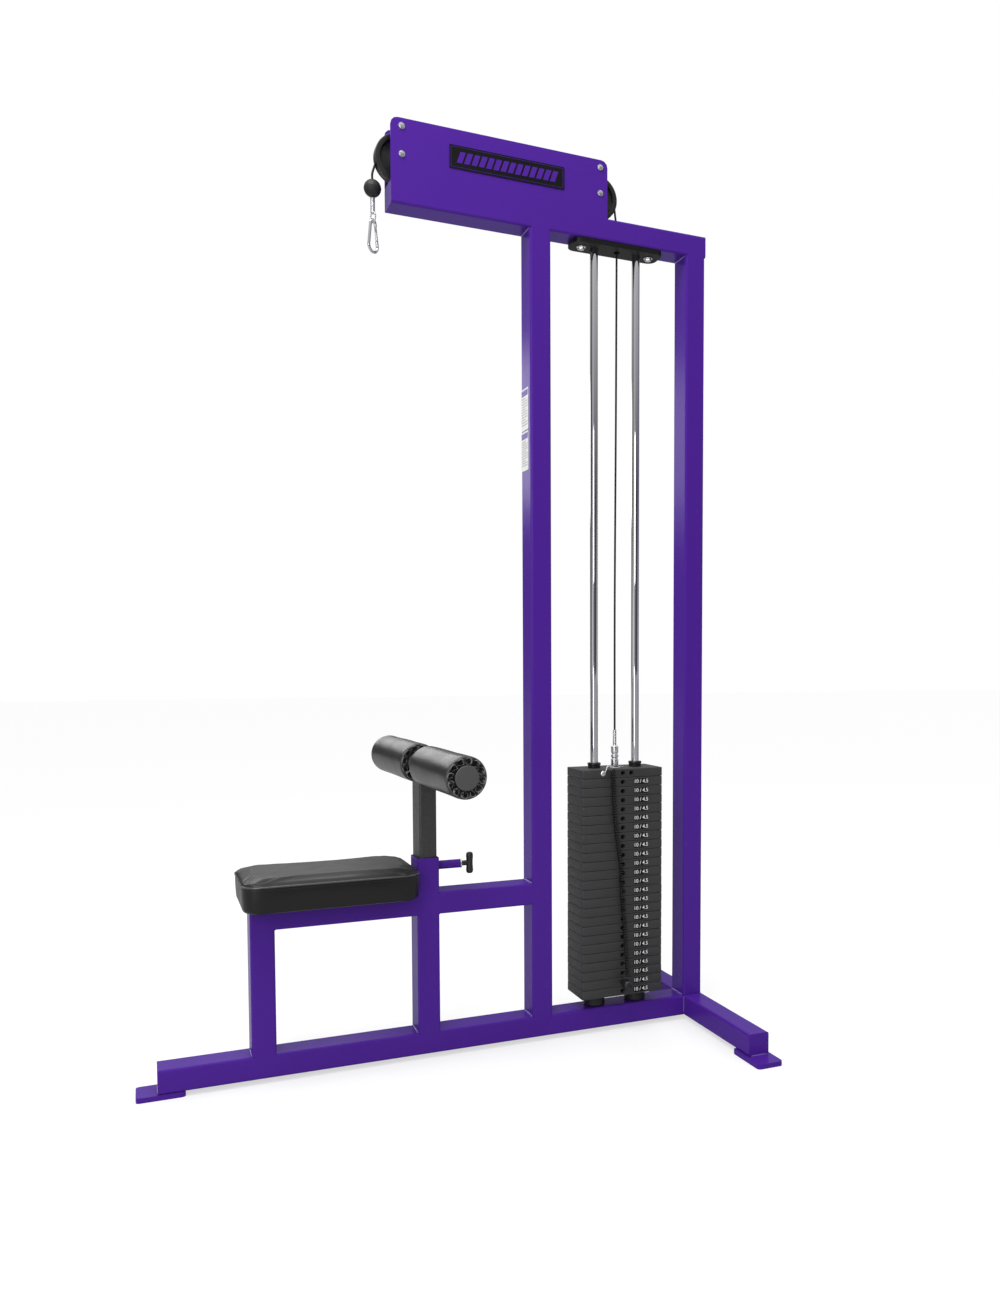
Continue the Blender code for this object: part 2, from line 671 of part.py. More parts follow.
def rods():
    low = BEAM_TOP + GAP
    high = BEAM_UNDERSIDE - GAP
    thick = 0.0127
    plate_low = high - thick
    length = 0.262
    outline = rounded_rectangle(length, SECTION_Y - 0.002, 0.022, 4)
    plate = node("rod_top_plate", prism(outline, "z", plate_low, high, (STACK_X, 0, 0)), BLACK_STEEL)
    holes = [hole("z", (CABLE_HOLE_X, 0, 0), 0.009, plate_low - 0.01, high + 0.01)]
    for end, x in rod_places():
        node(
            f"guide_rod_{end}", turned(rod_profile(ROD_RADIUS, low, high - 0.001), "z", (x, 0, 0), 20), CHROME,
            smooth=True,
        )
        holes.append(hole("z", (x, 0, 0), ROD_RADIUS + GAP, plate_low - 0.01, high + 0.01, 20))
        bumper = sleeve_profile(ROD_RADIUS + GAP, BUMPER_RADIUS, low, STACK_BOTTOM - GAP)
        node(f"bumper_{end}", turned(bumper, "z", (x, 0, 0), 24), RUBBER, smooth=True)
    for end, sign in (("front", -1), ("rear", 1)):
        x = STACK_X + sign * 0.1003
        holes.append(hole("z", (x, 0, 0), BOLT_RADIUS + GAP, plate_low - 0.01, high + 0.01, 12))
        under = plate_low - GAP
        profile = [
            (0, under - 0.007), (0.0080, under - 0.007), (0.0095, under - 0.0055), (0.0095, under),
            (BOLT_RADIUS, under), (BOLT_RADIUS, high + 0.012), (0, high + 0.012),
        ]
        node(f"rod_plate_bolt_{end}", turned(profile, "z", (x, 0, 0), 12), ZINC)
    drill(plate, *holes)


# --- Seat -------------------------------------------------------------------------------------------------
def seat():
    low = RAIL_TOP + GAP
    centre = (SEAT_FRONT + SEAT_LENGTH / 2 - MID_LENGTH, 0, 0)
    loops = []
    for inset, level in ((0.006, 0), (0.0, 0.008), (0.0, 0.060), (0.005, 0.071), (0.020, SEAT_HEIGHT)):
        outline = rounded_rectangle(SEAT_LENGTH - 2 * inset, SEAT_WIDTH - 2 * inset, 0.042 - inset, 5)
        loops.append(placed(outline, "z", low + level, centre))
    bm = bmesh.new()
    lofted(bm, loops)
    node("seat_pad", bm, VINYL, smooth=True)


# --- Thigh rollers ----------------------------------------------------------------------------------------
def turned_about_post(bm):
    bmesh.ops.rotate(bm, verts=bm.verts, cent=(KNEE_X, 0, 0), matrix=Matrix.Rotation(POST_TURN, 3, "Z"))
    return bm


def set_on_bar(bm):
    centre = (KNEE_X, 0, ROLLER_HEIGHT)
    bmesh.ops.rotate(bm, verts=bm.verts, cent=centre, matrix=Matrix.Rotation(ROLLER_TILT, 3, "X"))
    return turned_about_post(bm)


def rollers():
    axle = (KNEE_X, 0, ROLLER_HEIGHT)
    outline = rounded_rectangle(POST_X, POST_Y, 0.004)
    inside = rounded_rectangle(POST_X - 2 * WALL, POST_Y - 2 * WALL, 0.002)
    centre = (KNEE_X, 0, 0)
    top = ROLLER_HEIGHT + 0.020
    post = node(
        "roller_post", turned_about_post(prism(outline, "z", POST_BOTTOM, top, centre)), BLACK_STEEL,
        (KNEE_X, 0, KNEE_POST_TOP),
    )
    bore = turned_about_post(prism(inside, "z", POST_BOTTOM - WALL, top - WALL, centre))
    boolean(post, helper("roller_post_bore", bore), "DIFFERENCE")
    levels = [PIN_HEIGHT + 0.05 * i for i in range(-3, 4)]
    pins = merged(*[hole("x", (KNEE_X, 0, level), 0.0056, 0.012, 0.035, 10) for level in levels])
    boolean(post, helper("roller_post_pin_holes", turned_about_post(pins)), "DIFFERENCE")
    tip = ROLLER_OUTER - 0.002
    bar = set_on_bar(turned(rod_profile(ROLLER_AXLE_RADIUS, -tip, tip, 0.001), "y", axle, 16))
    boolean(post, helper("roller_axle_bar", bar), "UNION")
    for side, sign in (("right", -1), ("left", 1)):
        near = sign * ROLLER_INNER
        far = sign * ROLLER_OUTER
        edge = sign * 0.006
        profile = [
            (ROLLER_AXLE_RADIUS + 0.0006, near), (ROLLER_RADIUS - 0.008, near), (ROLLER_RADIUS, near + edge),
            (ROLLER_RADIUS, far - edge), (ROLLER_RADIUS - 0.008, far), (ROLLER_AXLE_RADIUS + 0.0006, far),
        ]
        foam = set_on_bar(turned(profile, "y", axle, 32))
        turned_axle = Vector((KNEE_X, 0, ROLLER_HEIGHT))
        node(f"foam_roller_{side}", foam, VINYL, turned_axle, smooth=True)
        cap = [
            (0, far + sign * GAP), (ROLLER_CAP_RADIUS, far + sign * GAP),
            (ROLLER_CAP_RADIUS, far + sign * 0.003), (ROLLER_CAP_RADIUS - 0.001, far + sign * 0.004),
            (0, far + sign * 0.004),
        ]
        node(f"roller_cap_{side}", set_on_bar(turned(cap, "y", axle, 28)), BLACK_PLASTIC, smooth=True)


# --- Pop pin ----------------------------------------------------------------------------------------------
def pop_pin():
    wall = KNEE_POST + SECTION_X - MID_LENGTH
    centre = (wall, 0, PIN_HEIGHT)
    end = BARREL_LENGTH
    barrel = sleeve_profile(0.0082, BARREL_RADIUS, GAP, end)
    node("pop_pin_barrel", turned(barrel, "x", centre, 20), PURPLE, smooth=True)
    collar = sleeve_profile(0.0062, BARREL_RADIUS + 0.0005, end + GAP, end + 0.004)
    node("pop_pin_collar", turned(collar, "x", centre, 20), ZINC, smooth=True)
    grip = end + 0.0275
    profile = [
        (0, -0.0050), (0.0035, -0.0050), (0.0050, -0.0035), (0.0050, 0.0100), (0.0078, 0.0100), (0.0078, 0.0130),
        (0.0045, 0.0130), (0.0045, end - 0.002), (0.0056, end - 0.002), (0.0056, end + 0.006),
        (0.0068, end + 0.007), (0.0068, grip), (0, grip),
    ]
    plunger = node(
        "pop_pin_plunger", turned(profile, "x", centre, 16), BLACK_PLASTIC, (wall, 0, PIN_HEIGHT), smooth=True
    )
    half = 0.028
    ends = [(0, -half), (0.0055, -half), (0.0082, -half + 0.002), (0.0094, -half + 0.007)]
    handle = ends + [(radius, -along) for radius, along in reversed(ends)]
    boolean(plunger, helper("pop_pin_handle", turned(handle, "z", (wall + grip, 0, PIN_HEIGHT), 16)), "UNION")
    turns = 5
    coil = []
    for i in range(turns * 10 + 1):
        angle = 2 * math.pi * i / 10
        along = 0.0142 + 0.020 * i / (turns * 10)
        coil.append((wall + along, 0.0062 * math.cos(angle), PIN_HEIGHT + 0.0062 * math.sin(angle)))
    node("pop_pin_spring", swept(coil, 0.0007, 6), ZINC)


def main():
    clear_scene()
    base()
    uprights()
    rails()
    top_beam()
    pulley_plates()
    pulleys()
    cable()
    hook_end()
    rods()
    stack()
    seat()
    rollers()
    pop_pin()


main()
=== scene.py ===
"""Looks of the lat pulldown machine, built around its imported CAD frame. Metres, +Z up, +X from seat to stack."""

import json
import math
import random

import bmesh
import bpy
from mathutils import Matrix, Vector, noise


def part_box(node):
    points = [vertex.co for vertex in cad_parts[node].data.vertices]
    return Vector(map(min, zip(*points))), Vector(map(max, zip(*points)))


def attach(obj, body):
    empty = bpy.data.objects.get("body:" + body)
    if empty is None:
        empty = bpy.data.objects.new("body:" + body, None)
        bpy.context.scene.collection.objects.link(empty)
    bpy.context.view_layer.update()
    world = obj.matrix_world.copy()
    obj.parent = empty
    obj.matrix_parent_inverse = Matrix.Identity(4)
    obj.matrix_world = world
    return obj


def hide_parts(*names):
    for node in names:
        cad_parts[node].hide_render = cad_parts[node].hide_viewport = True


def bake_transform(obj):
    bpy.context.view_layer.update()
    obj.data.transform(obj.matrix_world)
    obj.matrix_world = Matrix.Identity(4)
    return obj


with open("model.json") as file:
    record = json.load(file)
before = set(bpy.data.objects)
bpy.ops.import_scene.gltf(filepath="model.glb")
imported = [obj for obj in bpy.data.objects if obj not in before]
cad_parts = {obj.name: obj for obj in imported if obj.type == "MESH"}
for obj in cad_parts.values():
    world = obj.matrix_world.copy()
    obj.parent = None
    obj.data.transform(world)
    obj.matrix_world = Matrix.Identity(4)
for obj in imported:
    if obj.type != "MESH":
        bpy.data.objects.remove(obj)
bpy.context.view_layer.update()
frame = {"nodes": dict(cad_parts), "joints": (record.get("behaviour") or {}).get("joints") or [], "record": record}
NODES = frame["nodes"]
JOINTS = {joint["name"]: joint for joint in frame["joints"]}
SLOT_OF = {part["node"]: part["material_slot"] for part in frame["record"]["subparts"]}
BODY_OF = {name: body for body, names in frame["record"]["behaviour"]["bodies"].items() for name in names}

PURPLE = (0.0740, 0.0175, 0.2900)


# --- Camera, light and floor ------------------------------------------------------------------------------
def camera():
    data = bpy.data.cameras.new("camera")
    data.sensor_width = 36
    data.lens = 28.78
    data.shift_x = -0.0767
    data.shift_y = 0.0537
    data.clip_end = 100
    obj = bpy.data.objects.new("camera", data)
    obj.location = (-0.72397, -2.64233, 1.0228)
    obj.rotation_euler = (math.radians(86.86), 0, math.radians(-23.8))
    bpy.context.scene.collection.objects.link(obj)
    bpy.context.scene.camera = obj


def area_light(name, place, target, size, power):
    data = bpy.data.lights.new(name, "AREA")
    data.shape = "RECTANGLE"
    data.size, data.size_y = size
    data.energy = power
    obj = bpy.data.objects.new(name, data)
    obj.location = place
    obj.rotation_euler = (Vector(target) - Vector(place)).to_track_quat("-Z", "Y").to_euler()
    obj.visible_camera = False
    bpy.context.scene.collection.objects.link(obj)


def feed(tree, made, inputs):
    """Fill a node's inputs: each takes a socket to be linked from, or a plain value."""
    for key, value in inputs.items():
        if isinstance(value, bpy.types.NodeSocket):
            tree.links.new(value, made.inputs[key])
        else:
            made.inputs[key].default_value = value


def node(tree, kind, inputs=None, **settings):
    made = tree.nodes.new("ShaderNode" + kind)
    for key, value in settings.items():
        setattr(made, key, value)
    feed(tree, made, inputs or {})
    return made


def studio():
    """A white room with softboxes: bright overhead, three upright strips at the sides, dimmer at eye level."""
    bpy.context.scene.view_settings.view_transform = "Standard"
    world = bpy.data.worlds.new("studio")
    bpy.context.scene.world = world
    world.use_nodes = True
    tree = world.node_tree
    tree.nodes.clear()
    facing = node(tree, "TexCoord").outputs["Generated"]
    split = node(tree, "SeparateXYZ", {0: facing})
    rise = node(tree, "ValToRGB", {"Fac": split.outputs["Z"]})
    dark, bright = rise.color_ramp.elements
    dark.position, dark.color = 0.22, (0.10, 0.10, 0.103, 1)
    bright.position, bright.color = 0.80, (1.2, 1.2, 1.2, 1)
    strips = None
    for angle, sharp, power in ((190, 24, 1.1), (338, 60, 0.9), (40, 12, 0.5)):
        side = (math.cos(math.radians(angle)), math.sin(math.radians(angle)), 0)
        towards = node(tree, "VectorMath", {0: facing, 1: side}, operation="DOT_PRODUCT")
        lobe = node(tree, "Math", {0: towards.outputs["Value"], 1: sharp}, operation="POWER", use_clamp=True)
        scaled = node(tree, "Math", {0: lobe.outputs[0], 1: power}, operation="MULTIPLY").outputs[0]
        strips = scaled if strips is None else node(tree, "Math", {0: strips, 1: scaled}).outputs[0]
    lit = node(
        tree, "Mix", {"Factor": 1, "A": rise.outputs["Color"], "B": strips}, data_type="RGBA", blend_type="ADD"
    )
    light = node(tree, "Background", {"Color": lit.outputs["Result"]})
    wall = node(tree, "Background", {"Color": (1, 1, 1, 1)})
    path = node(tree, "LightPath")
    mix = node(tree, "MixShader", {"Fac": path.outputs["Is Camera Ray"], 1: light.outputs[0], 2: wall.outputs[0]})
    node(tree, "OutputWorld", {"Surface": mix.outputs[0]})
    area_light("overhead", (-0.9, -1.0, 3.9), (0, 0, 0.7), (1.6, 1.2), 46)
    area_light("front_left", (-2.6, -4.4, 2.6), (0, 0, 1.0), (1.6, 1.6), 46)
    area_light("rear", (-0.6, 4.2, 2.6), (0, 0, 0.8), (2.8, 1.0), 22)
    area_light("low_fill", (-2.9, -3.6, 0.5), (0, 0, 0.5), (1.6, 0.8), 15)

    floor = bmesh.new()
    bmesh.ops.create_grid(floor, x_segments=8, y_segments=8, size=30)
    mesh = bpy.data.meshes.new("floor")
    floor.to_mesh(mesh)
    floor.free()
    obj = bpy.data.objects.new("floor", mesh)
    bpy.context.scene.collection.objects.link(obj)
    mesh.materials.append(floor_paper())


def floor_paper():
    """Near-white paper, lifted for the camera and dimmer as a reflector, as under a photographer's flags."""
    made = finish("floor_paper", (0.93, 0.93, 0.93), 0.75, spread=0.004, grain=(60, 0.0002))
    tree = made.node_tree
    paper = tree.nodes["Principled BSDF"]
    glow = node(tree, "Emission", {"Strength": 1.10})
    lifted = node(tree, "MixShader", {"Fac": 0.56, 1: paper.outputs[0], 2: glow.outputs[0]})
    dim = node(tree, "BsdfDiffuse", {"Color": (0.52, 0.52, 0.52, 1)})
    path = node(tree, "LightPath")
    shown = node(tree, "MixShader", {"Fac": path.outputs["Is Camera Ray"], 1: dim.outputs[0], 2: lifted.outputs[0]})
    feed(tree, tree.nodes["Material Output"], {"Surface": shown.outputs[0]})
    return made


# --- Materials --------------------------------------------------------------------------------------------
def finish(
    name, colour, roughness, metallic=0.0, spread=0.06, patches=9.0, rough_spread=0.05, grain=(900, 0.00004),
    cells=None, stretch=(1, 1, 1), wear=0.0, coat=0.0, specular=0.5,
):
    """A surface with patches of colour and gloss, a fine grain, optional cells in relief, and worn edges."""
    made = bpy.data.materials.new(name)
    made.use_nodes = True
    tree = made.node_tree
    coord = node(tree, "TexCoord")
    place = node(tree, "Mapping", {"Scale": stretch, "Vector": coord.outputs["Object"]}).outputs["Vector"]
    broad = node(tree, "TexNoise", {"Scale": patches, "Vector": place, "Detail": 6.0})
    darker = (*[c * (1 - spread) for c in colour], 1)
    lighter = (*[min(c * (1 + spread), 1) for c in colour], 1)
    tint = node(tree, "Mix", {"Factor": broad.outputs["Fac"], "A": darker, "B": lighter}, data_type="RGBA")
    base = tint.outputs["Result"]
    if wear:
        edge = node(tree, "NewGeometry").outputs["Pointiness"]
        worn = node(tree, "MapRange", {"Value": edge, "From Min": 0.52, "From Max": 0.60, "To Max": wear})
        bare = (*[min(c * 3 + 0.03, 1) for c in colour], 1)
        base = node(
            tree, "Mix", {"Factor": worn.outputs["Result"], "A": base, "B": bare}, data_type="RGBA"
        ).outputs["Result"]
    span = {"To Min": max(roughness - rough_spread, 0.02), "To Max": roughness + rough_spread}
    gloss = node(tree, "MapRange", {"Value": broad.outputs["Fac"], "From Min": 0.3, "From Max": 0.7, **span})
    fine = node(tree, "TexNoise", {"Scale": grain[0], "Vector": place})
    bump = node(tree, "Bump", {"Distance": grain[1], "Height": fine.outputs["Fac"]})
    if cells:
        relief = node(tree, "TexVoronoi", {"Scale": cells[0], "Vector": place}, feature="SMOOTH_F1")
        relief = {"Distance": cells[1], "Height": relief.outputs["Distance"]}
        bump = node(tree, "Bump", {**relief, "Normal": bump.outputs["Normal"]})
    surface = {
        "Metallic": metallic, "Specular IOR Level": specular, "Coat Weight": coat, "Coat Roughness": 0.12,
        "Base Color": base, "Roughness": gloss.outputs["Result"], "Normal": bump.outputs["Normal"],
    }
    feed(tree, tree.nodes["Principled BSDF"], surface)
    return made


MATERIALS = {
    "purple_paint": finish(
        "purple_powder_coat", PURPLE, 0.24, spread=0.03, patches=5, rough_spread=0.04, grain=(420, 0.00005),
        specular=0.10,
    ),
    "bead_paint": finish("glossy_weld_paint", PURPLE, 0.10, spread=0.05, patches=60, specular=0.9, coat=0.8),
    "black_paint": finish(
        "cast_plate_paint", (0.023, 0.023, 0.0235), 0.55, spread=0.16, patches=60, grain=(650, 0.00016),
        cells=(420, 0.00010), wear=0.35, specular=0.45,
    ),
    "hammered": finish(
        "hammered_paint", (0.036, 0.036, 0.036), 0.36, spread=0.30, patches=220, grain=(500, 0.0001),
        cells=(260, 0.0009), specular=0.5,
    ),
    "chrome": finish(
        "hard_chrome", (0.82, 0.82, 0.84), 0.07, 1.0, spread=0.02, rough_spread=0.03, grain=(300, 0.000004),
        stretch=(1, 1, 0.02),
    ),
    "rod_chrome": finish(
        "ground_rod_chrome", (0.58, 0.58, 0.60), 0.05, 1.0, spread=0.02, rough_spread=0.01, grain=(300, 0.000004),
        stretch=(1, 1, 0.02),
    ),
    "zinc": finish(
        "zinc_plate", (0.66, 0.66, 0.67), 0.26, 1.0, spread=0.10, patches=120, rough_spread=0.08,
        grain=(1500, 0.00003),
    ),
    "black_plastic": finish(
        "moulded_plastic", (0.009, 0.009, 0.009), 0.32, spread=0.12, patches=40, grain=(1800, 0.00003),
        cells=(1500, 0.00003),
    ),
    "black_rubber": finish(
        "rubber", (0.012, 0.012, 0.012), 0.50, spread=0.15, patches=50, grain=(1400, 0.00005), specular=0.4,
    ),
    "black_vinyl": finish(
        "upholstery_vinyl", (0.0042, 0.0042, 0.0044), 0.36, spread=0.10, patches=14, rough_spread=0.05,
        grain=(2600, 0.00004), cells=(850, 0.00016), specular=0.36,
    ),
    "roller_vinyl": finish(
        "glossy_roller_vinyl", (0.0090, 0.0090, 0.0093), 0.34, spread=0.10, patches=14, rough_spread=0.05,
        grain=(2600, 0.00004), cells=(850, 0.00010), specular=0.95, coat=0.08,
    ),
    "dark_plate": finish(
        "dark_textured_paint", (0.004, 0.004, 0.004), 0.50, spread=0.30, patches=220, grain=(500, 0.0001),
        cells=(300, 0.0005), specular=0.2,
    ),
    # The welt's vinyl is about ten times lighter than the seat's: the lighter colour is a painted highlight along the
    # seam, and its lower roughness is real gloss.
    "welt_painted_highlight": finish(
        "welt_vinyl_painted_highlight", (0.040, 0.040, 0.041), 0.22, spread=0.10, patches=40, grain=(2600, 0.00003), specular=0.8
    ),
    # Light grey for the thin tubes on the roller's pleat outlines: a painted highlight on the black vinyl folds.
    "painted_fold_highlight": finish("painted_fold_highlight", (0.22, 0.22, 0.222), 0.22, spread=0.3, patches=90, specular=0.9),
    "bronze": finish("oiled_bronze", (0.42, 0.27, 0.12), 0.36, 1.0, spread=0.12, patches=150),
    "cable_coat": finish(
        "cable_coat", (0.004, 0.004, 0.004), 0.42, spread=0.15, patches=90, grain=(900, 0.00008), specular=0.3
    ),
    "label_black": finish("label_film", (0.003, 0.003, 0.003), 0.40, spread=0.1, grain=(2000, 0.00001), specular=0.2),
    "label_white": finish("label_ink", (0.78, 0.78, 0.77), 0.45, spread=0.02, grain=(2000, 0.00001)),
    "label_grey": finish("label_lines", (0.30, 0.30, 0.32), 0.45, spread=0.05, grain=(2000, 0.00001)),
    "thread": finish("sewing_thread", (0.045, 0.045, 0.047), 0.55, spread=0.2, patches=600),
}


# --- Modelling helpers ------------------------------------------------------------------------------------
def add(name, bm, material, body, replaced=(), smooth=35):
    """Make a piece from a mesh in the machine's frame, riding on a CAD body."""
    bmesh.ops.recalc_face_normals(bm, faces=bm.faces)
    mesh = bpy.data.meshes.new(name)
    bm.to_mesh(mesh)
    bm.free()
    obj = bpy.data.objects.new(name, mesh)
    bpy.context.scene.collection.objects.link(obj)
    mesh.materials.append(MATERIALS[material])
    if smooth:
        mesh.shade_smooth()
        mesh.set_sharp_from_angle(angle=math.radians(smooth))
    if body:
        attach(obj, body)
    if replaced:
        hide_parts(*replaced)
    return obj


def middle(name):
    low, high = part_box(name)
    return (low + high) / 2


def rounded(width, height, radius, steps=5):
    points = []
    for quarter in range(4):
        sign_x = 1 if quarter in (0, 3) else -1
        sign_y = 1 if quarter in (0, 1) else -1
        for step in range(steps + 1):
            angle = math.radians(90) * (quarter + step / steps)
            x = sign_x * (width / 2 - radius) + radius * math.cos(angle)
            points.append((x, sign_y * (height / 2 - radius) + radius * math.sin(angle)))
    return points


def loft(bm, loops, caps=True, closed=False):
    rings = [[bm.verts.new(point) for point in loop] for loop in loops]
    count = len(rings[0])
    pairs = list(zip(rings, rings[1:]))
    if closed:
        pairs.append((rings[-1], rings[0]))
    for first, second in pairs:
        for i in range(count):
            j = (i + 1) % count
            bm.faces.new((first[i], first[j], second[j], second[i]))
    if caps and not closed:
        bm.faces.new(list(reversed(rings[0])))
        bm.faces.new(rings[-1])


def slab(bm, centre, size, thick, corner, facing="y", bevel=0.0002):
    """A thin rounded plate; its face looks along -Y or -X."""
    turn = Matrix(((1, 0, 0), (0, 0, -1), (0, 1, 0)))
    if facing == "x":
        turn = Matrix(((0, 0, -1), (-1, 0, 0), (0, 1, 0)))
    loops = []
    for inset, level in ((0, 0), (0, thick - bevel), (bevel, thick)):
        outline = rounded(size[0] - 2 * inset, size[1] - 2 * inset, max(corner - inset, 0.0001), 4)
        loops.append([Vector(centre) + turn @ Vector((x, y, level)) for x, y in outline])
    loft(bm, loops)


def lathe(profile, centre, axis=(0, 0, 1), segments=64, bm=None):
    """Revolve (radius, distance along the axis) points; start and end at radius 0, or leave a bore."""
    bm = bm or bmesh.new()
    turn = Vector((0, 0, 1)).rotation_difference(Vector(axis).normalized()).to_matrix()
    centre = Vector(centre)
    rings = []
    for radius, along in profile:
        if radius == 0:
            rings.append([bm.verts.new(centre + turn @ Vector((0, 0, along)))])
            continue
        ring = []
        for i in range(segments):
            angle = 2 * math.pi * i / segments
            place = turn @ Vector((radius * math.cos(angle), radius * math.sin(angle), along))
            ring.append(bm.verts.new(centre + place))
        rings.append(ring)
    pairs = list(zip(rings, rings[1:]))
    if len(rings[0]) > 1:
        pairs.append((rings[-1], rings[0]))
    for first, second in pairs:
        for i in range(segments):
            j = (i + 1) % segments
            if len(first) == 1:
                bm.faces.new((first[0], second[j], second[i]))
            elif len(second) == 1:
                bm.faces.new((first[i], first[j], second[0]))
            else:
                bm.faces.new((first[i], first[j], second[j], second[i]))
    return bm


def eased(profile, radius=0.0008, steps=3):
    """Round the corners of a profile, apart from those on the axis."""
    result = []
    count = len(profile)
    for i, point in enumerate(profile):
        before, after = profile[i - 1], profile[(i + 1) % count]
        if point[0] == 0:
            result.append(point)
            continue
        here = Vector(point)
        back, on = Vector(before) - here, Vector(after) - here
        reach = min(radius, back.length * 0.45, on.length * 0.45)
        start, end = here + back.normalized() * reach, here + on.normalized() * reach
        for step in range(steps + 1):
            t = step / steps
            place = start * (1 - t) ** 2 + here * 2 * t * (1 - t) + end * t**2
            result.append((place.x, place.y))
    return result


def tube(points, radius, sides=16, closed=False, bm=None):
    """A round tube along a line of points; radius is a number or one for each point."""
    bm = bm or bmesh.new()
    points = [Vector(point) for point in points]
    count = len(points)
    radii = radius if hasattr(radius, "__len__") else [radius] * count
    rings, normal = [], None
    for i, point in enumerate(points):
        if closed:
            tangent = points[(i + 1) % count] - points[i - 1]
        else:
            tangent = points[min(i + 1, count - 1)] - points[max(i - 1, 0)]
        tangent.normalize()
        guide = normal or (Vector((0, 1, 0)) if abs(tangent.y) < 0.9 else Vector((1, 0, 0)))
        normal = (guide - tangent * guide.dot(tangent)).normalized()
        side = tangent.cross(normal)
        ring = []
        for k in range(sides):
            angle = 2 * math.pi * k / sides
            ring.append(point + radii[i] * (math.cos(angle) * normal + math.sin(angle) * side))
        rings.append(ring)
    loft(bm, rings, closed=closed)
    return bm


def curve_through(points, count):
    """Points on a Catmull-Rom curve through the given ones."""
    points = [Vector(point) for point in points]
    padded = [2 * points[0] - points[1], *points, 2 * points[-1] - points[-2]]
    spans = len(points) - 1
    route = []
    for i in range(count):
        place = spans * i / (count - 1)
        span = min(int(place), spans - 1)
        t = place - span
        a, b, c, d = padded[span : span + 4]
        route.append(
            0.5 * (2 * b + (c - a) * t + (2 * a - 5 * b + 4 * c - d) * t**2 + (3 * b - a - 3 * c + d) * t**3)
        )
    return route


def drilled(bm, holes):
    """The mesh with holes cut by a Boolean, as a new bmesh."""
    objs = []
    for index, part in enumerate((bm, holes)):
        bmesh.ops.recalc_face_normals(part, faces=part.faces)
        mesh = bpy.data.meshes.new(f"drill_{index}")
        part.to_mesh(mesh)
        part.free()
        obj = bpy.data.objects.new(f"drill_{index}", mesh)
        bpy.context.scene.collection.objects.link(obj)
        objs.append(obj)
    cut = objs[0].modifiers.new("cut", "BOOLEAN")
    cut.operation = "DIFFERENCE"
    cut.object = objs[1]
    graph = bpy.context.evaluated_depsgraph_get()
    result = bmesh.new()
    mesh = bpy.data.meshes.new_from_object(objs[0].evaluated_get(graph))
    result.from_mesh(mesh)
    for obj in objs:
        bpy.data.objects.remove(obj, do_unlink=True)
    bpy.data.meshes.remove(mesh)
    return result


def lettering(bm, text, size, centre, thick):
    """Raised figures that face -Y."""
    curve = bpy.data.curves.new("figures", "FONT")
    curve.body = text
    curve.size = size
    curve.extrude = thick / 2
    curve.offset = size * 0.012
    curve.align_x = "CENTER"
    curve.align_y = "CENTER"
    obj = bpy.data.objects.new("figures", curve)
    bpy.context.scene.collection.objects.link(obj)
    graph = bpy.context.evaluated_depsgraph_get()
    mesh = bpy.data.meshes.new_from_object(obj.evaluated_get(graph))
    mesh.transform(Matrix.Translation(centre) @ Matrix.Rotation(math.radians(90), 4, "X"))
    bm.from_mesh(mesh)
    bpy.data.objects.remove(obj, do_unlink=True)
    bpy.data.meshes.remove(mesh)


# --- Frame ------------------------------------------------------------------------------------------------
def paint_frame():
    for name, obj in NODES.items():
        slot = SLOT_OF[name]
        look = {"roller_post": "hammered", "rod_top_plate": "dark_plate", "name_plate": "label_black"}.get(name, slot)
        obj.data.materials.clear()
        obj.data.materials.append(MATERIALS[look])


def bead(bm, start, end, radius=0.0030):
    """A rippled weld bead in the corner between two tubes."""
    start, end = Vector(start), Vector(end)
    count = max(int((end - start).length / 0.0011), 6)
    points, radii = [], []
    for i in range(count + 1):
        t = i / count
        ends = min(1, 6 * t, 6 * (1 - t))
        points.append(start.lerp(end, t))
        radii.append(radius * (0.45 + 0.55 * ends) * (1 + 0.10 * math.cos(i * math.pi / 2)))
    tube(points, radii, 10, bm=bm)


def welds():
    bm = bmesh.new()
    base_low, base_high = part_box("base_beam")
    half = base_high.y - 0.005
    for name in ("seat_post", "knee_post", "middle_upright", "rear_upright"):
        low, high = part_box(name)
        for x in (low.x, high.x):
            bead(bm, (x, -half, base_high.z), (x, half, base_high.z))
    beam_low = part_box("top_beam")[0]
    for name in ("middle_upright", "rear_upright"):
        low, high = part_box(name)
        for x in (low.x, high.x) if name == "middle_upright" else (low.x,):
            bead(bm, (x, -half, beam_low.z), (x, half, beam_low.z))
    for name in ("seat_rail", "rear_rail"):
        low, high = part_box(name)
        for x in (low.x, high.x):
            levels = (low.z,) if name == "seat_rail" and x == low.x else (low.z, high.z)
            for z in levels:
                bead(bm, (x, -half, z), (x, half, z))
    cross_low, cross_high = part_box("rear_cross_base")
    for side in (-1, 1):
        y = side * base_high.y
        bead(bm, (cross_low.x, y, base_low.z + 0.004), (cross_low.x, y, base_high.z - 0.004))
        tip = side * cross_high.y
        bead(bm, (cross_low.x + 0.006, tip, cross_low.z), (cross_high.x - 0.006, tip, cross_low.z))
    bead(bm, (base_low.x, -half, base_low.z), (base_low.x, half, base_low.z))
    barrel_low, barrel_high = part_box("pop_pin_barrel")
    ring = []
    barrel = (barrel_high.z - barrel_low.z) / 2
    centre = middle("pop_pin_barrel")
    for i in range(64):
        angle = 2 * math.pi * i / 64
        y, z = barrel * math.cos(angle), barrel * math.sin(angle)
        ring.append((barrel_low.x, centre.y + y, centre.z + z))
    radii = [0.0022 * (1 + 0.10 * math.cos(i * math.pi / 2)) for i in range(64)]
    tube(ring, radii, 8, closed=True, bm=bm)
    add("weld_beads", bm, "bead_paint", "frame", smooth=60)

    ground_seams()


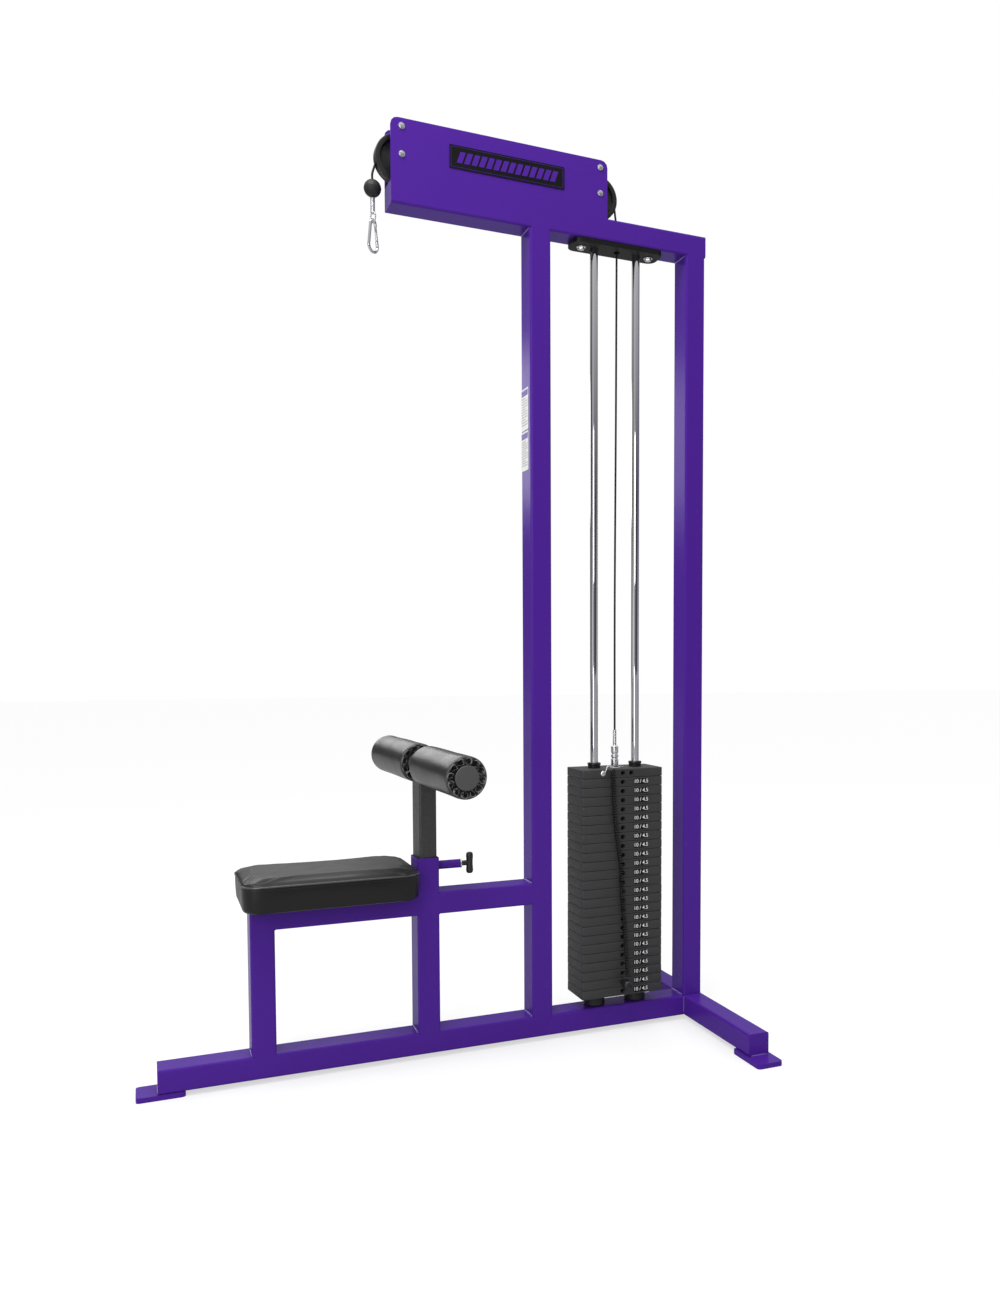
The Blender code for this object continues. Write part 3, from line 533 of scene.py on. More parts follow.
def patch(bm, low, high):
    """A block with the given corners, the fill of a joint that was ground flush."""
    loops = []
    for x in (low[0], high[0]):
        loops.append([(x, low[1], low[2]), (x, high[1], low[2]), (x, high[1], high[2]), (x, low[1], high[2])])
    loft(bm, loops)


def ground_seams():
    """The welds across flush faces are ground smooth, so no line shows between two tubes."""
    bm = bmesh.new()
    proud, over, deep, corner, edge = 0.00004, 0.0010, 0.0056, 0.0046, 0.0036
    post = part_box("knee_post")
    for side in (-1, 1):
        face = side * (post[1].y + proud)
        inner = side * (post[1].y - corner)
        y0, y1 = min(face, inner), max(face, inner)
        for name in ("seat_rail", "rear_rail"):
            low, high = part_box(name)
            for end in (0, 1):
                x = high.x if end else low.x
                x0, x1 = (x - over, x + deep) if end else (x - deep, x + over)
                patch(bm, (x0, y0, low.z + edge), (x1, y1, high.z - edge))
        base_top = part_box("base_beam")[1].z
        for name in ("seat_post", "knee_post", "middle_upright"):
            low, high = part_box(name)
            patch(bm, (low.x + edge, y0, base_top - deep), (high.x - edge, y1, low.z + over))
        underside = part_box("top_beam")[0].z
        for name in ("middle_upright", "rear_upright"):
            low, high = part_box(name)
            patch(bm, (low.x + edge, y0, high.z - over), (high.x - edge, y1, underside + deep))
        low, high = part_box("pulley_plate_right" if side < 0 else "pulley_plate_left")
        patch(bm, (low.x + 0.0004, y0, low.z - deep), (high.x - 0.0004, y1, low.z + over))
    add("ground_seams", bm, "purple_paint", "frame", smooth=0)


def stickers():
    """Two blank instruction labels and the name plate's plain striped inlay."""
    low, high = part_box("middle_upright")
    face = low.x - 0.0002
    white, band, lines = bmesh.new(), bmesh.new(), bmesh.new()
    for bottom, top in ((1.5375, 1.6405), (1.6435, 1.7530)):
        y = 0.0085
        tall = top - bottom
        slab(white, (face, y, (bottom + top) / 2), (0.054, tall), 0.0003, 0.003, "x", 0.0001)
        slab(band, (face - 0.0003, y, top - 0.012), (0.048, 0.015), 0.00012, 0.001, "x", 0.00004)
        rows = 11
        for row in range(rows):
            z = top - 0.026 - row * (tall - 0.034) / rows
            width = 0.044 if row % 4 else 0.030
            slab(lines, (face - 0.0003, y + (0.022 - width / 2), z), (width, 0.0022), 0.0001, 0.0005, "x", 0.00003)
    add("label_sheets", white, "label_white", "frame")
    add("label_bands", band, "purple_paint", "frame")
    add("label_lines", lines, "label_grey", "frame")

    low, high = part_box("name_plate")
    centre = (low + high) / 2
    width, height = high.x - low.x, high.z - low.z
    inlay = bmesh.new()
    rim = []
    for x, z in rounded(width - 0.008, height - 0.008, 0.003):
        rim.append((centre.x + x, low.y, centre.z + z))
    tube(rim, 0.0005, 6, closed=True, bm=inlay)
    stripes = 14
    lean = 0.010
    for i in range(stripes):
        x = centre.x + (i - (stripes - 1) / 2) * (width - 0.040) / stripes
        foot, head = centre.z - height * 0.24, centre.z + height * 0.24
        loops = []
        for y in (low.y, low.y - 0.0006):
            left, right = x - 0.0115, x + 0.0025
            loops.append([(left, y, foot), (right, y, foot), (right + lean, y, head), (left + lean, y, head)])
        loft(inlay, loops)
    add("name_plate_stripes", inlay, "purple_paint", "frame", smooth=0)


# --- Weight stack -----------------------------------------------------------------------------------------
BLOCKS = (("weight_plates_d", 5), ("weight_plates_c", 6), ("weight_plates_b", 6), ("weight_plates_a", 6))


def plate_mesh(length, depth, height, rod_spread, pin_holes=(0,), stem=0.0136, foot=0.0):
    """One cast plate, its underside at zero. A foot set back from its edge closes the gap below it."""
    bm = bmesh.new()
    loops = []
    ease = 0.0014
    set_back = 0.004
    if foot:
        for level in (-foot, 0):
            outline = rounded(length - 2 * set_back, depth - 2 * set_back, 0.0004, 4)
            loops.append([(x, y, level) for x, y in outline])
    for inset, level in (
        (ease, 0), (ease * 0.3, ease * 0.3), (0, ease), (0, height - ease), (ease * 0.3, height - ease * 0.3),
        (ease, height),
    ):
        outline = rounded(length - 2 * inset, depth - 2 * inset, 0.0035 - inset, 4)
        loops.append([(x, y, level) for x, y in outline])
    loft(bm, loops)
    holes = bmesh.new()
    for x, radius in ((-rod_spread, 0.013), (rod_spread, 0.013), (0, stem)):
        lathe([(0, -0.01), (radius, -0.01), (radius, height + 0.01), (0, height + 0.01)], (x, 0, 0), bm=holes)
    for x in pin_holes:
        bore = [(0, -0.01), (0.0068, -0.01), (0.0068, 0.0002), (0.0056, 0.0014), (0.0056, 0.035), (0, 0.035)]
        lathe(bore, (x, -depth / 2, height / 2), (0, 1, 0), 32, bm=holes)
    return drilled(bm, holes)


def stack():
    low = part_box("weight_plate_bottom")[0]
    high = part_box("weight_plates_a")[1]
    centre = middle("weight_plates_a")
    length, depth = high.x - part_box("weight_plates_a")[0].x, high.y - low.y
    gap = 0.0004
    shown_gap = 0.0009
    total = 1 + sum(count for _, count in BLOCKS)
    pitch = (high.z + gap - low.z) / total
    spread = (middle("guide_rod_rear").x - middle("guide_rod_front").x) / 2
    foot = shown_gap - 0.0001
    single = plate_mesh(length, depth, pitch - shown_gap, spread, foot=foot)
    shape = bpy.data.meshes.new("plate_shape")
    single.to_mesh(shape)
    single.free()
    owners = ["weight_plate_bottom"]
    for name, count in BLOCKS:
        owners += [name] * count
    draw = random.Random(7)
    for index, owner in enumerate(owners):
        if index:
            bm = bmesh.new()
            bm.from_mesh(shape)
        else:
            bm = plate_mesh(length, depth, pitch - shown_gap, spread)
        nudge = Vector((draw.uniform(-1, 1), draw.uniform(-1, 1), 0)) * 0.0003
        bmesh.ops.translate(bm, verts=bm.verts, vec=Vector((centre.x, 0, low.z + index * pitch)) + nudge)
        add(f"plate_{total - index:02d}", bm, "black_paint", BODY_OF[owner], (owner,), smooth=50)
    bpy.data.meshes.remove(shape)

    head_low, head_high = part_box("head_plate")
    head = plate_mesh(length, depth, head_high.z - head_low.z, spread, (-0.0595, 0, 0.0255), foot=foot)
    bmesh.ops.translate(head, verts=head.verts, vec=(centre.x, 0, head_low.z))
    add("head_plate_cast", head, "black_paint", "lifted_stack", ("head_plate",), smooth=50)

    for body, indices in (("frame", (0,)), ("lifted_stack", range(1, total))):
        film, ink = bmesh.new(), bmesh.new()
        for index in indices:
            z = low.z + (index + 0.5) * pitch
            place = (centre.x + 0.0551, low.y - 0.0002, z)
            slab(film, place, (0.0435, 0.0155), 0.0004, 0.003, bevel=0.0001)
            lettering(ink, "10 / 4.5", 0.0145, (place[0], low.y - 0.0007, z), 0.0002)
        add(f"number_labels_{body}", film, "label_black", body)
        add(f"numbers_{body}", ink, "label_white", body, smooth=0)


def rods():
    for end in ("front", "rear"):
        low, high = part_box(f"guide_rod_{end}")
        centre = middle(f"guide_rod_{end}")
        radius = (high.x - low.x) / 2
        profile = eased([(0, low.z), (radius, low.z), (radius, high.z), (0, high.z)], 0.0012)
        add(
            f"chrome_rod_{end}", lathe(profile, (centre.x, 0, 0), segments=72), "rod_chrome", "frame",
            (f"guide_rod_{end}",),
        )
        low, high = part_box(f"bumper_{end}")
        outer = (high.x - low.x) / 2
        bore = radius + 0.0004
        profile = [
            (bore, low.z), (outer - 0.002, low.z), (outer, low.z + 0.003), (outer - 0.0012, high.z - 0.008),
            (outer, high.z - 0.006), (outer - 0.001, high.z), (bore, high.z),
        ]
        add(
            f"rubber_bumper_{end}", lathe(eased(profile, 0.0012), (centre.x, 0, 0)), "black_rubber", "frame",
            (f"bumper_{end}",),
        )
        low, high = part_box(f"head_bushing_{end}")
        outer = (high.x - low.x) / 2
        bore = radius + 0.0006
        profile = [
            (bore, low.z), (outer - 0.0012, low.z), (outer - 0.0012, high.z - 0.0065), (outer, high.z - 0.0055),
            (outer, high.z), (bore, high.z),
        ]
        add(
            f"collar_{end}", lathe(eased(profile, 0.0007), (centre.x, 0, 0)), "black_plastic", "lifted_stack",
            (f"head_bushing_{end}",),
        )
        washer = bmesh.new()
        bolt_x = middle(f"rod_plate_bolt_{end}").x
        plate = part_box("rod_top_plate")[0].z
        ring = eased([(0.0058, plate - 0.0017), (0.0125, plate - 0.0017), (0.0125, plate), (0.0058, plate)], 0.0003)
        lathe(ring, (bolt_x, 0, 0), bm=washer)
        hexagon_head(washer, (bolt_x, 0, plate - 0.0017), (0, 0, -1), 0.0092, 0.0055)
        add(f"plate_bolt_{end}", washer, "zinc", "frame", (f"rod_plate_bolt_{end}",), smooth=30)


def hexagon_head(bm, base, axis, across, thick):
    """A hexagon head with its chamfered crown, standing on a base point."""
    axis = Vector(axis).normalized()
    turn = Vector((0, 0, 1)).rotation_difference(axis).to_matrix()
    loops = []
    for share, level in ((1, 0), (1, thick * 0.72), (0.86, thick)):
        ring = []
        for i in range(24):
            angle = 2 * math.pi * i / 24
            corner = math.cos(math.pi / 6) / math.cos((angle % (math.pi / 3)) - math.pi / 6)
            reach = across * (corner if share == 1 else 1) * share
            ring.append(Vector(base) + turn @ Vector((reach * math.cos(angle), reach * math.sin(angle), level)))
        loops.append(ring)
    loft(bm, loops)


def stack_fittings():
    low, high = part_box("cable_end_fitting")
    centre = middle("cable_end_fitting")
    body = lathe(
        eased(
            [
                (0, low.z), (0.0105, low.z), (0.0105, low.z + 0.022), (0.0084, low.z + 0.0235),
                (0.0084, low.z + 0.0265), (0.0105, low.z + 0.028), (0.0105, low.z + 0.0345),
                (0.0084, low.z + 0.036), (0.0084, low.z + 0.039), (0.0105, low.z + 0.0405),
                (0.0105, low.z + 0.0575), (0.0062, low.z + 0.0605), (0.0050, low.z + 0.0615),
                (0.0046, high.z - 0.001), (0, high.z - 0.001),
            ],
            0.0007,
        ),
        (centre.x, centre.y, 0),
    )
    for i in range(5):
        z = low.z + 0.068 + i * 0.0078
        lathe(eased([(0, z), (0.0052, z), (0.0052, z + 0.0042), (0, z + 0.0042)], 0.0006), (centre.x, 0, 0), bm=body)
    add("swage_fitting", body, "zinc", "lifted_stack", ("cable_end_fitting",))

    ring = []
    radius = 0.0175
    for i in range(72):
        angle = 2 * math.pi * i / 72
        ring.append(
            (centre.x - 0.004 + radius * 1.25 * math.cos(angle), -0.016 + radius * math.sin(angle), low.z + 0.0013)
        )
    add("key_ring", tube(ring, 0.0011, 10, closed=True), "zinc", "lifted_stack")

    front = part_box("head_plate")[0].y
    level = middle("head_plate").z + 0.001
    x = centre.x - 0.0595
    clip = tube(
        curve_through(
            [
                (x, front + 0.010, level), (x, front - 0.004, level), (x + 0.0005, front - 0.009, level + 0.003),
                (x + 0.0045, front - 0.011, level + 0.013), (x + 0.0095, front - 0.010, level + 0.020),
                (x + 0.0175, front - 0.009, level + 0.021),
            ],
            48,
        ),
        0.0018, 14,
    )
    lathe(
        eased([(0, -0.001), (0.0078, -0.001), (0.0078, 0.0012), (0.0050, 0.0030), (0, 0.0030)], 0.0006),
        (x, front, level), (0, -1, 0), bm=clip,
    )
    add("snap_clip", clip, "zinc", "lifted_stack", ("lanyard_clip",))

    pin = middle("selector_pin")
    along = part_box("selector_pin")[1].y
    knob = lathe(
        eased(
            [
                (0, -along), (0.0037, -along), (0.0047, -along + 0.002), (0.0047, 0.0562), (0.0070, 0.0578),
                (0.0090, 0.0605), (0.0090, 0.0690), (0.0118, 0.0730), (0.0136, 0.0785), (0.0142, 0.0840),
                (0.0136, 0.0895), (0.0115, 0.0940), (0.0080, 0.0972), (0.0040, 0.0983), (0, 0.0985),
            ],
            0.0010,
        ),
        (pin.x, 0, pin.z), (0, -1, 0),
    )
    add("pin_knob", knob, "black_plastic", "pin", ("selector_pin",))


def lanyard():
    """A tight coil of plastic cord from the clip down to the pin."""
    x = middle("head_plate").x
    hang = [
        (x - 0.034, -0.0645, 0.735), (x - 0.0295, -0.0650, 0.622), (x - 0.0205, -0.0650, 0.541),
        (x - 0.0100, -0.0650, 0.471), (x - 0.0070, -0.0650, 0.396), (x + 0.0010, -0.0660, 0.296),
        (x + 0.0050, -0.0690, 0.221), (x + 0.0050, -0.0770, 0.162),
    ]
    line = curve_through(hang, 400)
    lengths = [0.0]
    for first, second in zip(line, line[1:]):
        lengths.append(lengths[-1] + (second - first).length)
    turns = 80
    steps = turns * 12
    coil_radius, cord_radius = 0.0050, 0.0018
    route = []
    index = 0
    for i in range(steps + 1):
        target = lengths[-1] * i / steps
        while index < len(lengths) - 2 and lengths[index + 1] < target:
            index += 1
        share = (target - lengths[index]) / (lengths[index + 1] - lengths[index])
        point = line[index].lerp(line[index + 1], share)
        tangent = (line[index + 1] - line[index]).normalized()
        side = tangent.cross(Vector((0, 1, 0))).normalized()
        out = side.cross(tangent)
        angle = 2 * math.pi * i / 12
        route.append(point + coil_radius * (math.cos(angle) * side + math.sin(angle) * out))
    add("coiled_lanyard", tube(route, cord_radius, 7), "cable_coat", "lifted_stack", ("lanyard",), 80)


# --- Pulley head and cable --------------------------------------------------------------------------------
CABLE_RADIUS = 0.00275
CABLE_LINE = 0.056


def pulleys():
    for end in ("front", "rear"):
        low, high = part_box(f"{end}_pulley")
        centre = middle(f"{end}_pulley")
        rim, half = (high.z - low.z) / 2, (high.y - low.y) / 2
        groove = CABLE_LINE - CABLE_RADIUS - 0.00045
        side = [
            (0.0090, -half), (0.0200, -half), (0.0212, -0.0062), (0.0460, -0.0056), (0.0482, -half),
            (rim - 0.0008, -half), (rim, -half + 0.001), (rim, -0.0085), (groove + 0.0015, -0.0050),
            (groove + 0.0003, -0.0030), (groove, -0.0012),
        ]
        profile = side + [(radius, -along) for radius, along in reversed(side)]
        wheel = lathe(eased(profile, 0.0007, 2), centre, (0, 1, 0), 96)
        add(f"grooved_wheel_{end}", wheel, "black_plastic", f"{end}_wheel", (f"{end}_pulley",))
        for kind in ("axle", "keeper"):
            name = f"{end}_{kind}_bolt"
            low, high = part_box(name)
            place = middle(name)
            shaft = 0.0050 if kind == "axle" else 0.0045
            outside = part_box("pulley_plate_left")[1].y
            bolt = lathe(
                eased([(0, low.y), (shaft, low.y), (shaft, high.y), (0, high.y)], 0.0006),
                (place.x, 0, place.z), (0, 1, 0), 32,
            )
            for face in (-1, 1):
                washer = [(shaft + 0.0004, 0.0002), (0.0080, 0.0002), (0.0080, 0.0015), (shaft + 0.0004, 0.0015)]
                lathe(eased(washer, 0.0003), (place.x, face * outside, place.z), (0, face, 0), 48, bm=bolt)
                hexagon_head(bolt, (place.x, face * (outside + 0.0015), place.z), (0, face, 0), 0.0062, 0.0036)
            add(f"through_bolt_{end}_{kind}", bolt, "zinc", "frame", (name,), smooth=30)


def arc(centre, start, end, steps):
    points = []
    for i in range(steps + 1):
        angle = math.radians(start + (end - start) * i / steps)
        points.append((centre.x + CABLE_LINE * math.cos(angle), 0, centre.z + CABLE_LINE * math.sin(angle)))
    return points


def cable():
    front, rear = middle("front_pulley"), middle("rear_pulley")
    run = arc(front, 180, 90, 32) + arc(rear, 90, 0, 32)
    add(
        "cable_over_pulleys", tube(run, CABLE_RADIUS, 16), "cable_coat", "frame", ("cable_top_run",)
    )
    level = front.z
    ball_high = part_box("ball_stop")[1]
    hook = middle("ball_stop")
    start = Vector((front.x - CABLE_LINE, 0, level))
    line = curve_through(
        [
            start, start + Vector((-0.002, 0, -0.018)), (hook.x, 0, ball_high.z + 0.015),
            (hook.x, 0, ball_high.z - 0.001),
        ],
        60,
    )
    drop = add(
        "cable_to_hook", tube(line, CABLE_RADIUS, 16), "cable_coat", None, ("cable_front_drop",)
    )
    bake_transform(drop)

    x = rear.x + CABLE_LINE
    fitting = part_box("cable_end_fitting")[1]
    stack_x = middle("cable_end_fitting").x
    hole_x = stack_x + 0.0047
    line = curve_through(
        [
            (x, 0, level), (x + 0.004, 0, 2.245), (hole_x, 0, 2.20), (hole_x, 0, 2.13), (stack_x + 0.003, 0, 1.70),
            (stack_x, 0, 1.20), (stack_x, 0, fitting.z - 0.003),
        ],
        180,
    )
    drop = add(
        "cable_to_stack", tube(line, CABLE_RADIUS, 16), "cable_coat", None, ("cable_rear_drop",)
    )
    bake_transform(drop)


def hook_end():
    low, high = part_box("ball_stop")
    centre = middle("ball_stop")
    radius = (high.z - low.z) / 2
    profile = []
    for i in range(33):
        angle = -math.pi / 2 + math.pi * i / 32
        wide = radius * math.cos(angle)
        profile.append((0 if i in (0, 32) else wide, radius * math.sin(angle)))
    ball = lathe(profile, centre, segments=72)
    collar = [(0, radius - 0.004), (0.0062, radius - 0.004), (0.0048, radius + 0.0004), (0, radius + 0.0004)]
    lathe(eased(collar, 0.0008), centre, bm=ball)
    seam = []
    for i in range(96):
        angle = 2 * math.pi * i / 96
        seam.append(centre + Vector((radius * math.cos(angle), radius * math.sin(angle), 0)))
    tube(seam, 0.00035, 6, closed=True, bm=ball)
    add("rubber_ball", ball, "black_rubber", "hook", ("ball_stop",))

    swing = JOINTS["carabiner_swing"]
    axis = Vector(swing["axis"]).normalized()
    across = Vector((axis.y, -axis.x, 0))
    eye_low, eye_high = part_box("cable_eye")
    bottom = Vector((centre.x, 0, eye_low.z))
    eye = bmesh.new()
    tall = 0.0130
    wire = 0.0024
    middle_point = Vector((centre.x, 0, swing["pos_m"][2] + tall))
    for strand in range(3):
        points = []
        for i in range(241):
            angle = 2 * math.pi * i / 240
            base = middle_point + axis * 0.0080 * math.sin(angle) - Vector((0, 0, tall * math.cos(angle)))
            outward = (axis * math.sin(angle) * 0.008 - Vector((0, 0, math.cos(angle) * tall))).normalized()
            twist = angle * 6 + 2 * math.pi * strand / 3
            points.append(base + outward * 0.0012 * math.cos(twist) + across * 0.0012 * math.sin(twist))
        tube(points, wire * 0.52, 8, bm=eye)
    top = eye_high.z
    neck = middle_point.z + tall - 0.004
    turns = int((top - neck) / 0.0022)
    coil = []
    for i in range(turns * 16 + 1):
        angle = 2 * math.pi * i / 16
        coil.append(Vector((centre.x + 0.0048 * math.cos(angle), 0.0048 * math.sin(angle), neck + i * 0.0022 / 16)))
    tube(coil, 0.0011, 8, bm=eye)
    lathe(
        eased([(0, neck), (0.0046, neck), (0.0046, top - 0.0005), (0, top - 0.0005)], 0.0006), (centre.x, 0, 0),
        bm=eye,
    )
    add("wire_eye", eye, "zinc", "hook", ("cable_eye",), smooth=60)
    carabiner(across)


def carabiner(across):
    origin = Vector(JOINTS["carabiner_swing"]["pos_m"])
    low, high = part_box("carabiner_body")
    wire = 0.0036
    top_radius, bottom_radius = 0.008, 0.015
    top = high.z - wire - top_radius
    bottom = low.z + wire + bottom_radius
    lean = math.asin((bottom_radius - top_radius) / (top - bottom))

    def place(wide, level):
        return Vector((origin.x, 0, level)) + across * wide

    def gate_side(share):
        start = (top_radius * math.cos(lean), top + top_radius * math.sin(lean))
        end = (bottom_radius * math.cos(lean), bottom + bottom_radius * math.sin(lean))
        return start[0] + (end[0] - start[0]) * share, start[1] + (end[1] - start[1]) * share

    path = [gate_side(0.14), gate_side(0.04)]
    for i in range(25):
        angle = lean + (math.pi - 2 * lean) * i / 24
        path.append((top_radius * math.cos(angle), top + top_radius * math.sin(angle)))
    for i in range(37):
        angle = math.pi - lean + (math.pi + 2 * lean) * i / 36
        path.append((bottom_radius * math.cos(angle), bottom + bottom_radius * math.sin(angle)))
    path.append(gate_side(0.80))
    body = tube([place(*point) for point in path], wire, 20)
    add("snap_hook_body", body, "rod_chrome", "carabiner", ("carabiner_body",))

    ends = [gate_side(share) for share in (0.155, 0.19, 0.46, 0.73, 0.765)]
    gate = tube([place(*point) for point in ends], [0.0024, 0.0030, 0.0030, 0.0030, 0.0026], 20)
    hinge = place(*gate_side(0.765))
    normal = Vector((across.y, -across.x, 0))
    rivet = [(0, -0.0042), (0.0013, -0.0042), (0.0013, 0.0042), (0, 0.0042)]
    lathe(eased(rivet, 0.0004), hinge, normal, 20, bm=gate)
    add("snap_hook_gate", gate, "rod_chrome", "gate", ("carabiner_gate",))


# --- Seat -------------------------------------------------------------------------------------------------
def inflate(obj, pinned, cap, pressure, voxel=0.005, frames=20):
    """Fill a closed shape like an upholstered pad: cloth under pressure, held where it is sewn or stapled."""
    remesh = obj.modifiers.new("remesh", "REMESH")
    remesh.mode = "VOXEL"
    remesh.voxel_size = voxel
    graph = bpy.context.evaluated_depsgraph_get()
    mesh = bpy.data.meshes.new_from_object(obj.evaluated_get(graph))
    obj.modifiers.clear()
    obj.data = mesh
    rest = [vertex.co.copy() for vertex in mesh.vertices]
    group = obj.vertex_groups.new(name="held")
    held = [index for index, point in enumerate(rest) if pinned(point)]
    group.add(held, 1.0, "REPLACE")
    cloth = obj.modifiers.new("cloth", "CLOTH")
    settings = cloth.settings
    settings.quality = 6
    settings.mass = 0.3
    settings.use_pressure = True
    settings.uniform_pressure_force = pressure
    settings.effector_weights.gravity = 0
    settings.vertex_group_mass = "held"
    settings.tension_stiffness = 40
    settings.compression_stiffness = 40
    settings.bending_stiffness = 1.5
    scene = bpy.context.scene
    for number in range(1, frames + 1):
        scene.frame_set(number)
    graph = bpy.context.evaluated_depsgraph_get()
    posed = obj.evaluated_get(graph)
    moved = [vertex.co.copy() for vertex in posed.data.vertices]
    obj.modifiers.clear()
    scene.frame_set(1)
    for vertex, start, end in zip(mesh.vertices, rest, moved):
        step = end - start
        if step.length > cap:
            step = step.normalized() * cap
        vertex.co = start + step
    obj.vertex_groups.clear()


def applied(obj, kind, **settings):
    modifier = obj.modifiers.new(kind, kind)
    for key, value in settings.items():
        setattr(modifier, key, value)
    graph = bpy.context.evaluated_depsgraph_get()
    mesh = bpy.data.meshes.new_from_object(obj.evaluated_get(graph))
    obj.modifiers.clear()
    obj.data = mesh


def seat():
    low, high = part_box("seat_pad")
    centre = (low + high) / 2
    length, width = high.x - low.x, high.y - low.y
    seam = low.z + 0.0655
    swell = 0.003
    bm = bmesh.new()
    loops = []
    for inset, level in (
        (0.018, 0.0003), (0.008, 0.0020), (0.0045, 0.008), (swell, 0.036), (0.0025, 0.063), (0.0028, 0.0665),
        (0.0045, 0.0720), (0.0085, 0.0762), (0.016, 0.0785), (0.040, 0.0796), (0.090, 0.0802),
    ):
        outline = rounded(length - 2 * inset, width - 2 * inset, max(0.042 - inset * 0.4, 0.014), 8)
        loops.append([(centre.x + x, centre.y + y, low.z + level) for x, y in outline])
    loft(bm, loops)
    pad = add("seat_cushion", bm, "black_vinyl", None, ("seat_pad",), smooth=0)
    inflate(
        pad, lambda point: point.z < low.z + 0.006 or abs(point.z - seam) < 0.0026, 0.0050, 4.0, voxel=0.004
    )
    applied(pad, "SMOOTH", factor=0.5, iterations=5)
    applied(pad, "SUBSURF", levels=1, render_levels=1)
    mesh = pad.data
    for vertex in mesh.vertices:
        point = vertex.co
        crease = noise.noise(Vector((point.x * 16, point.y * 22, point.z * 40)))
        lift = 0.00045 * crease
        if point.z > seam:
            point.z += lift
        else:
            point.y += lift * (1 if point.y > 0 else -1)
        point.z = min(max(point.z, low.z), high.z + 0.004)
    mesh.shade_smooth()
    mesh.materials.clear()
    mesh.materials.append(MATERIALS["black_vinyl"])
    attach(pad, "frame")

    graph = bpy.context.evaluated_depsgraph_get()
    posed = pad.evaluated_get(graph)
    welt, stitches = bmesh.new(), bmesh.new()
    outline = rounded(length - 0.02, width - 0.02, 0.036, 24)
    dense = []
    for first, second in zip(outline, outline[1:] + outline[:1]):
        first, second = Vector(first), Vector(second)
        steps = max(int((second - first).length / 0.004), 1)
        dense += [first.lerp(second, i / steps) for i in range(steps)]

    def on_surface(level, sink):
        found = []
        for point in dense:
            inner = Vector((point.x * 0.8, point.y * 0.8))
            ray_from = Vector((centre.x + point.x * 1.3, centre.y + point.y * 1.3, level))
            ray = Vector((inner.x - point.x, inner.y - point.y, 0)).normalized()
            hit, place, normal, _ = posed.ray_cast(ray_from, ray)
            if hit:
                found.append((place - normal * sink, normal))
        return found

    # The welt is drawn in the lighter vinyl, a painted highlight along the seam.
    ring = on_surface(seam, -0.0002)
    tube([place for place, _ in ring], 0.0024, 12, closed=True, bm=welt)
    add("seat_welt", welt, "welt_painted_highlight", "frame")
    row = on_surface(seam - 0.0065, 0.0003)
    for i in range(0, len(row) - 1):
        place, normal = row[i]
        after = row[i + 1][0]
        if (after - place).length > 0.012:
            continue
        start, end = place.lerp(after, 0.12), place.lerp(after, 0.80)
        peak = (start + end) / 2 + normal * 0.0004
        tube([start, peak, end], [0.0002, 0.00042, 0.0002], 6, bm=stitches)
    add("seat_stitching", stitches, "thread", "frame")
    board = bmesh.new()
    loops = []
    for inset, level in ((0.020, -0.0002), (0.016, 0.0002), (0.016, 0.0012)):
        outline = rounded(length - 2 * inset, width - 2 * inset, 0.030, 8)
        loops.append([(centre.x + x, centre.y + y, low.z + level) for x, y in outline])
    loft(board, loops)
    add("seat_board", board, "black_plastic", "frame")


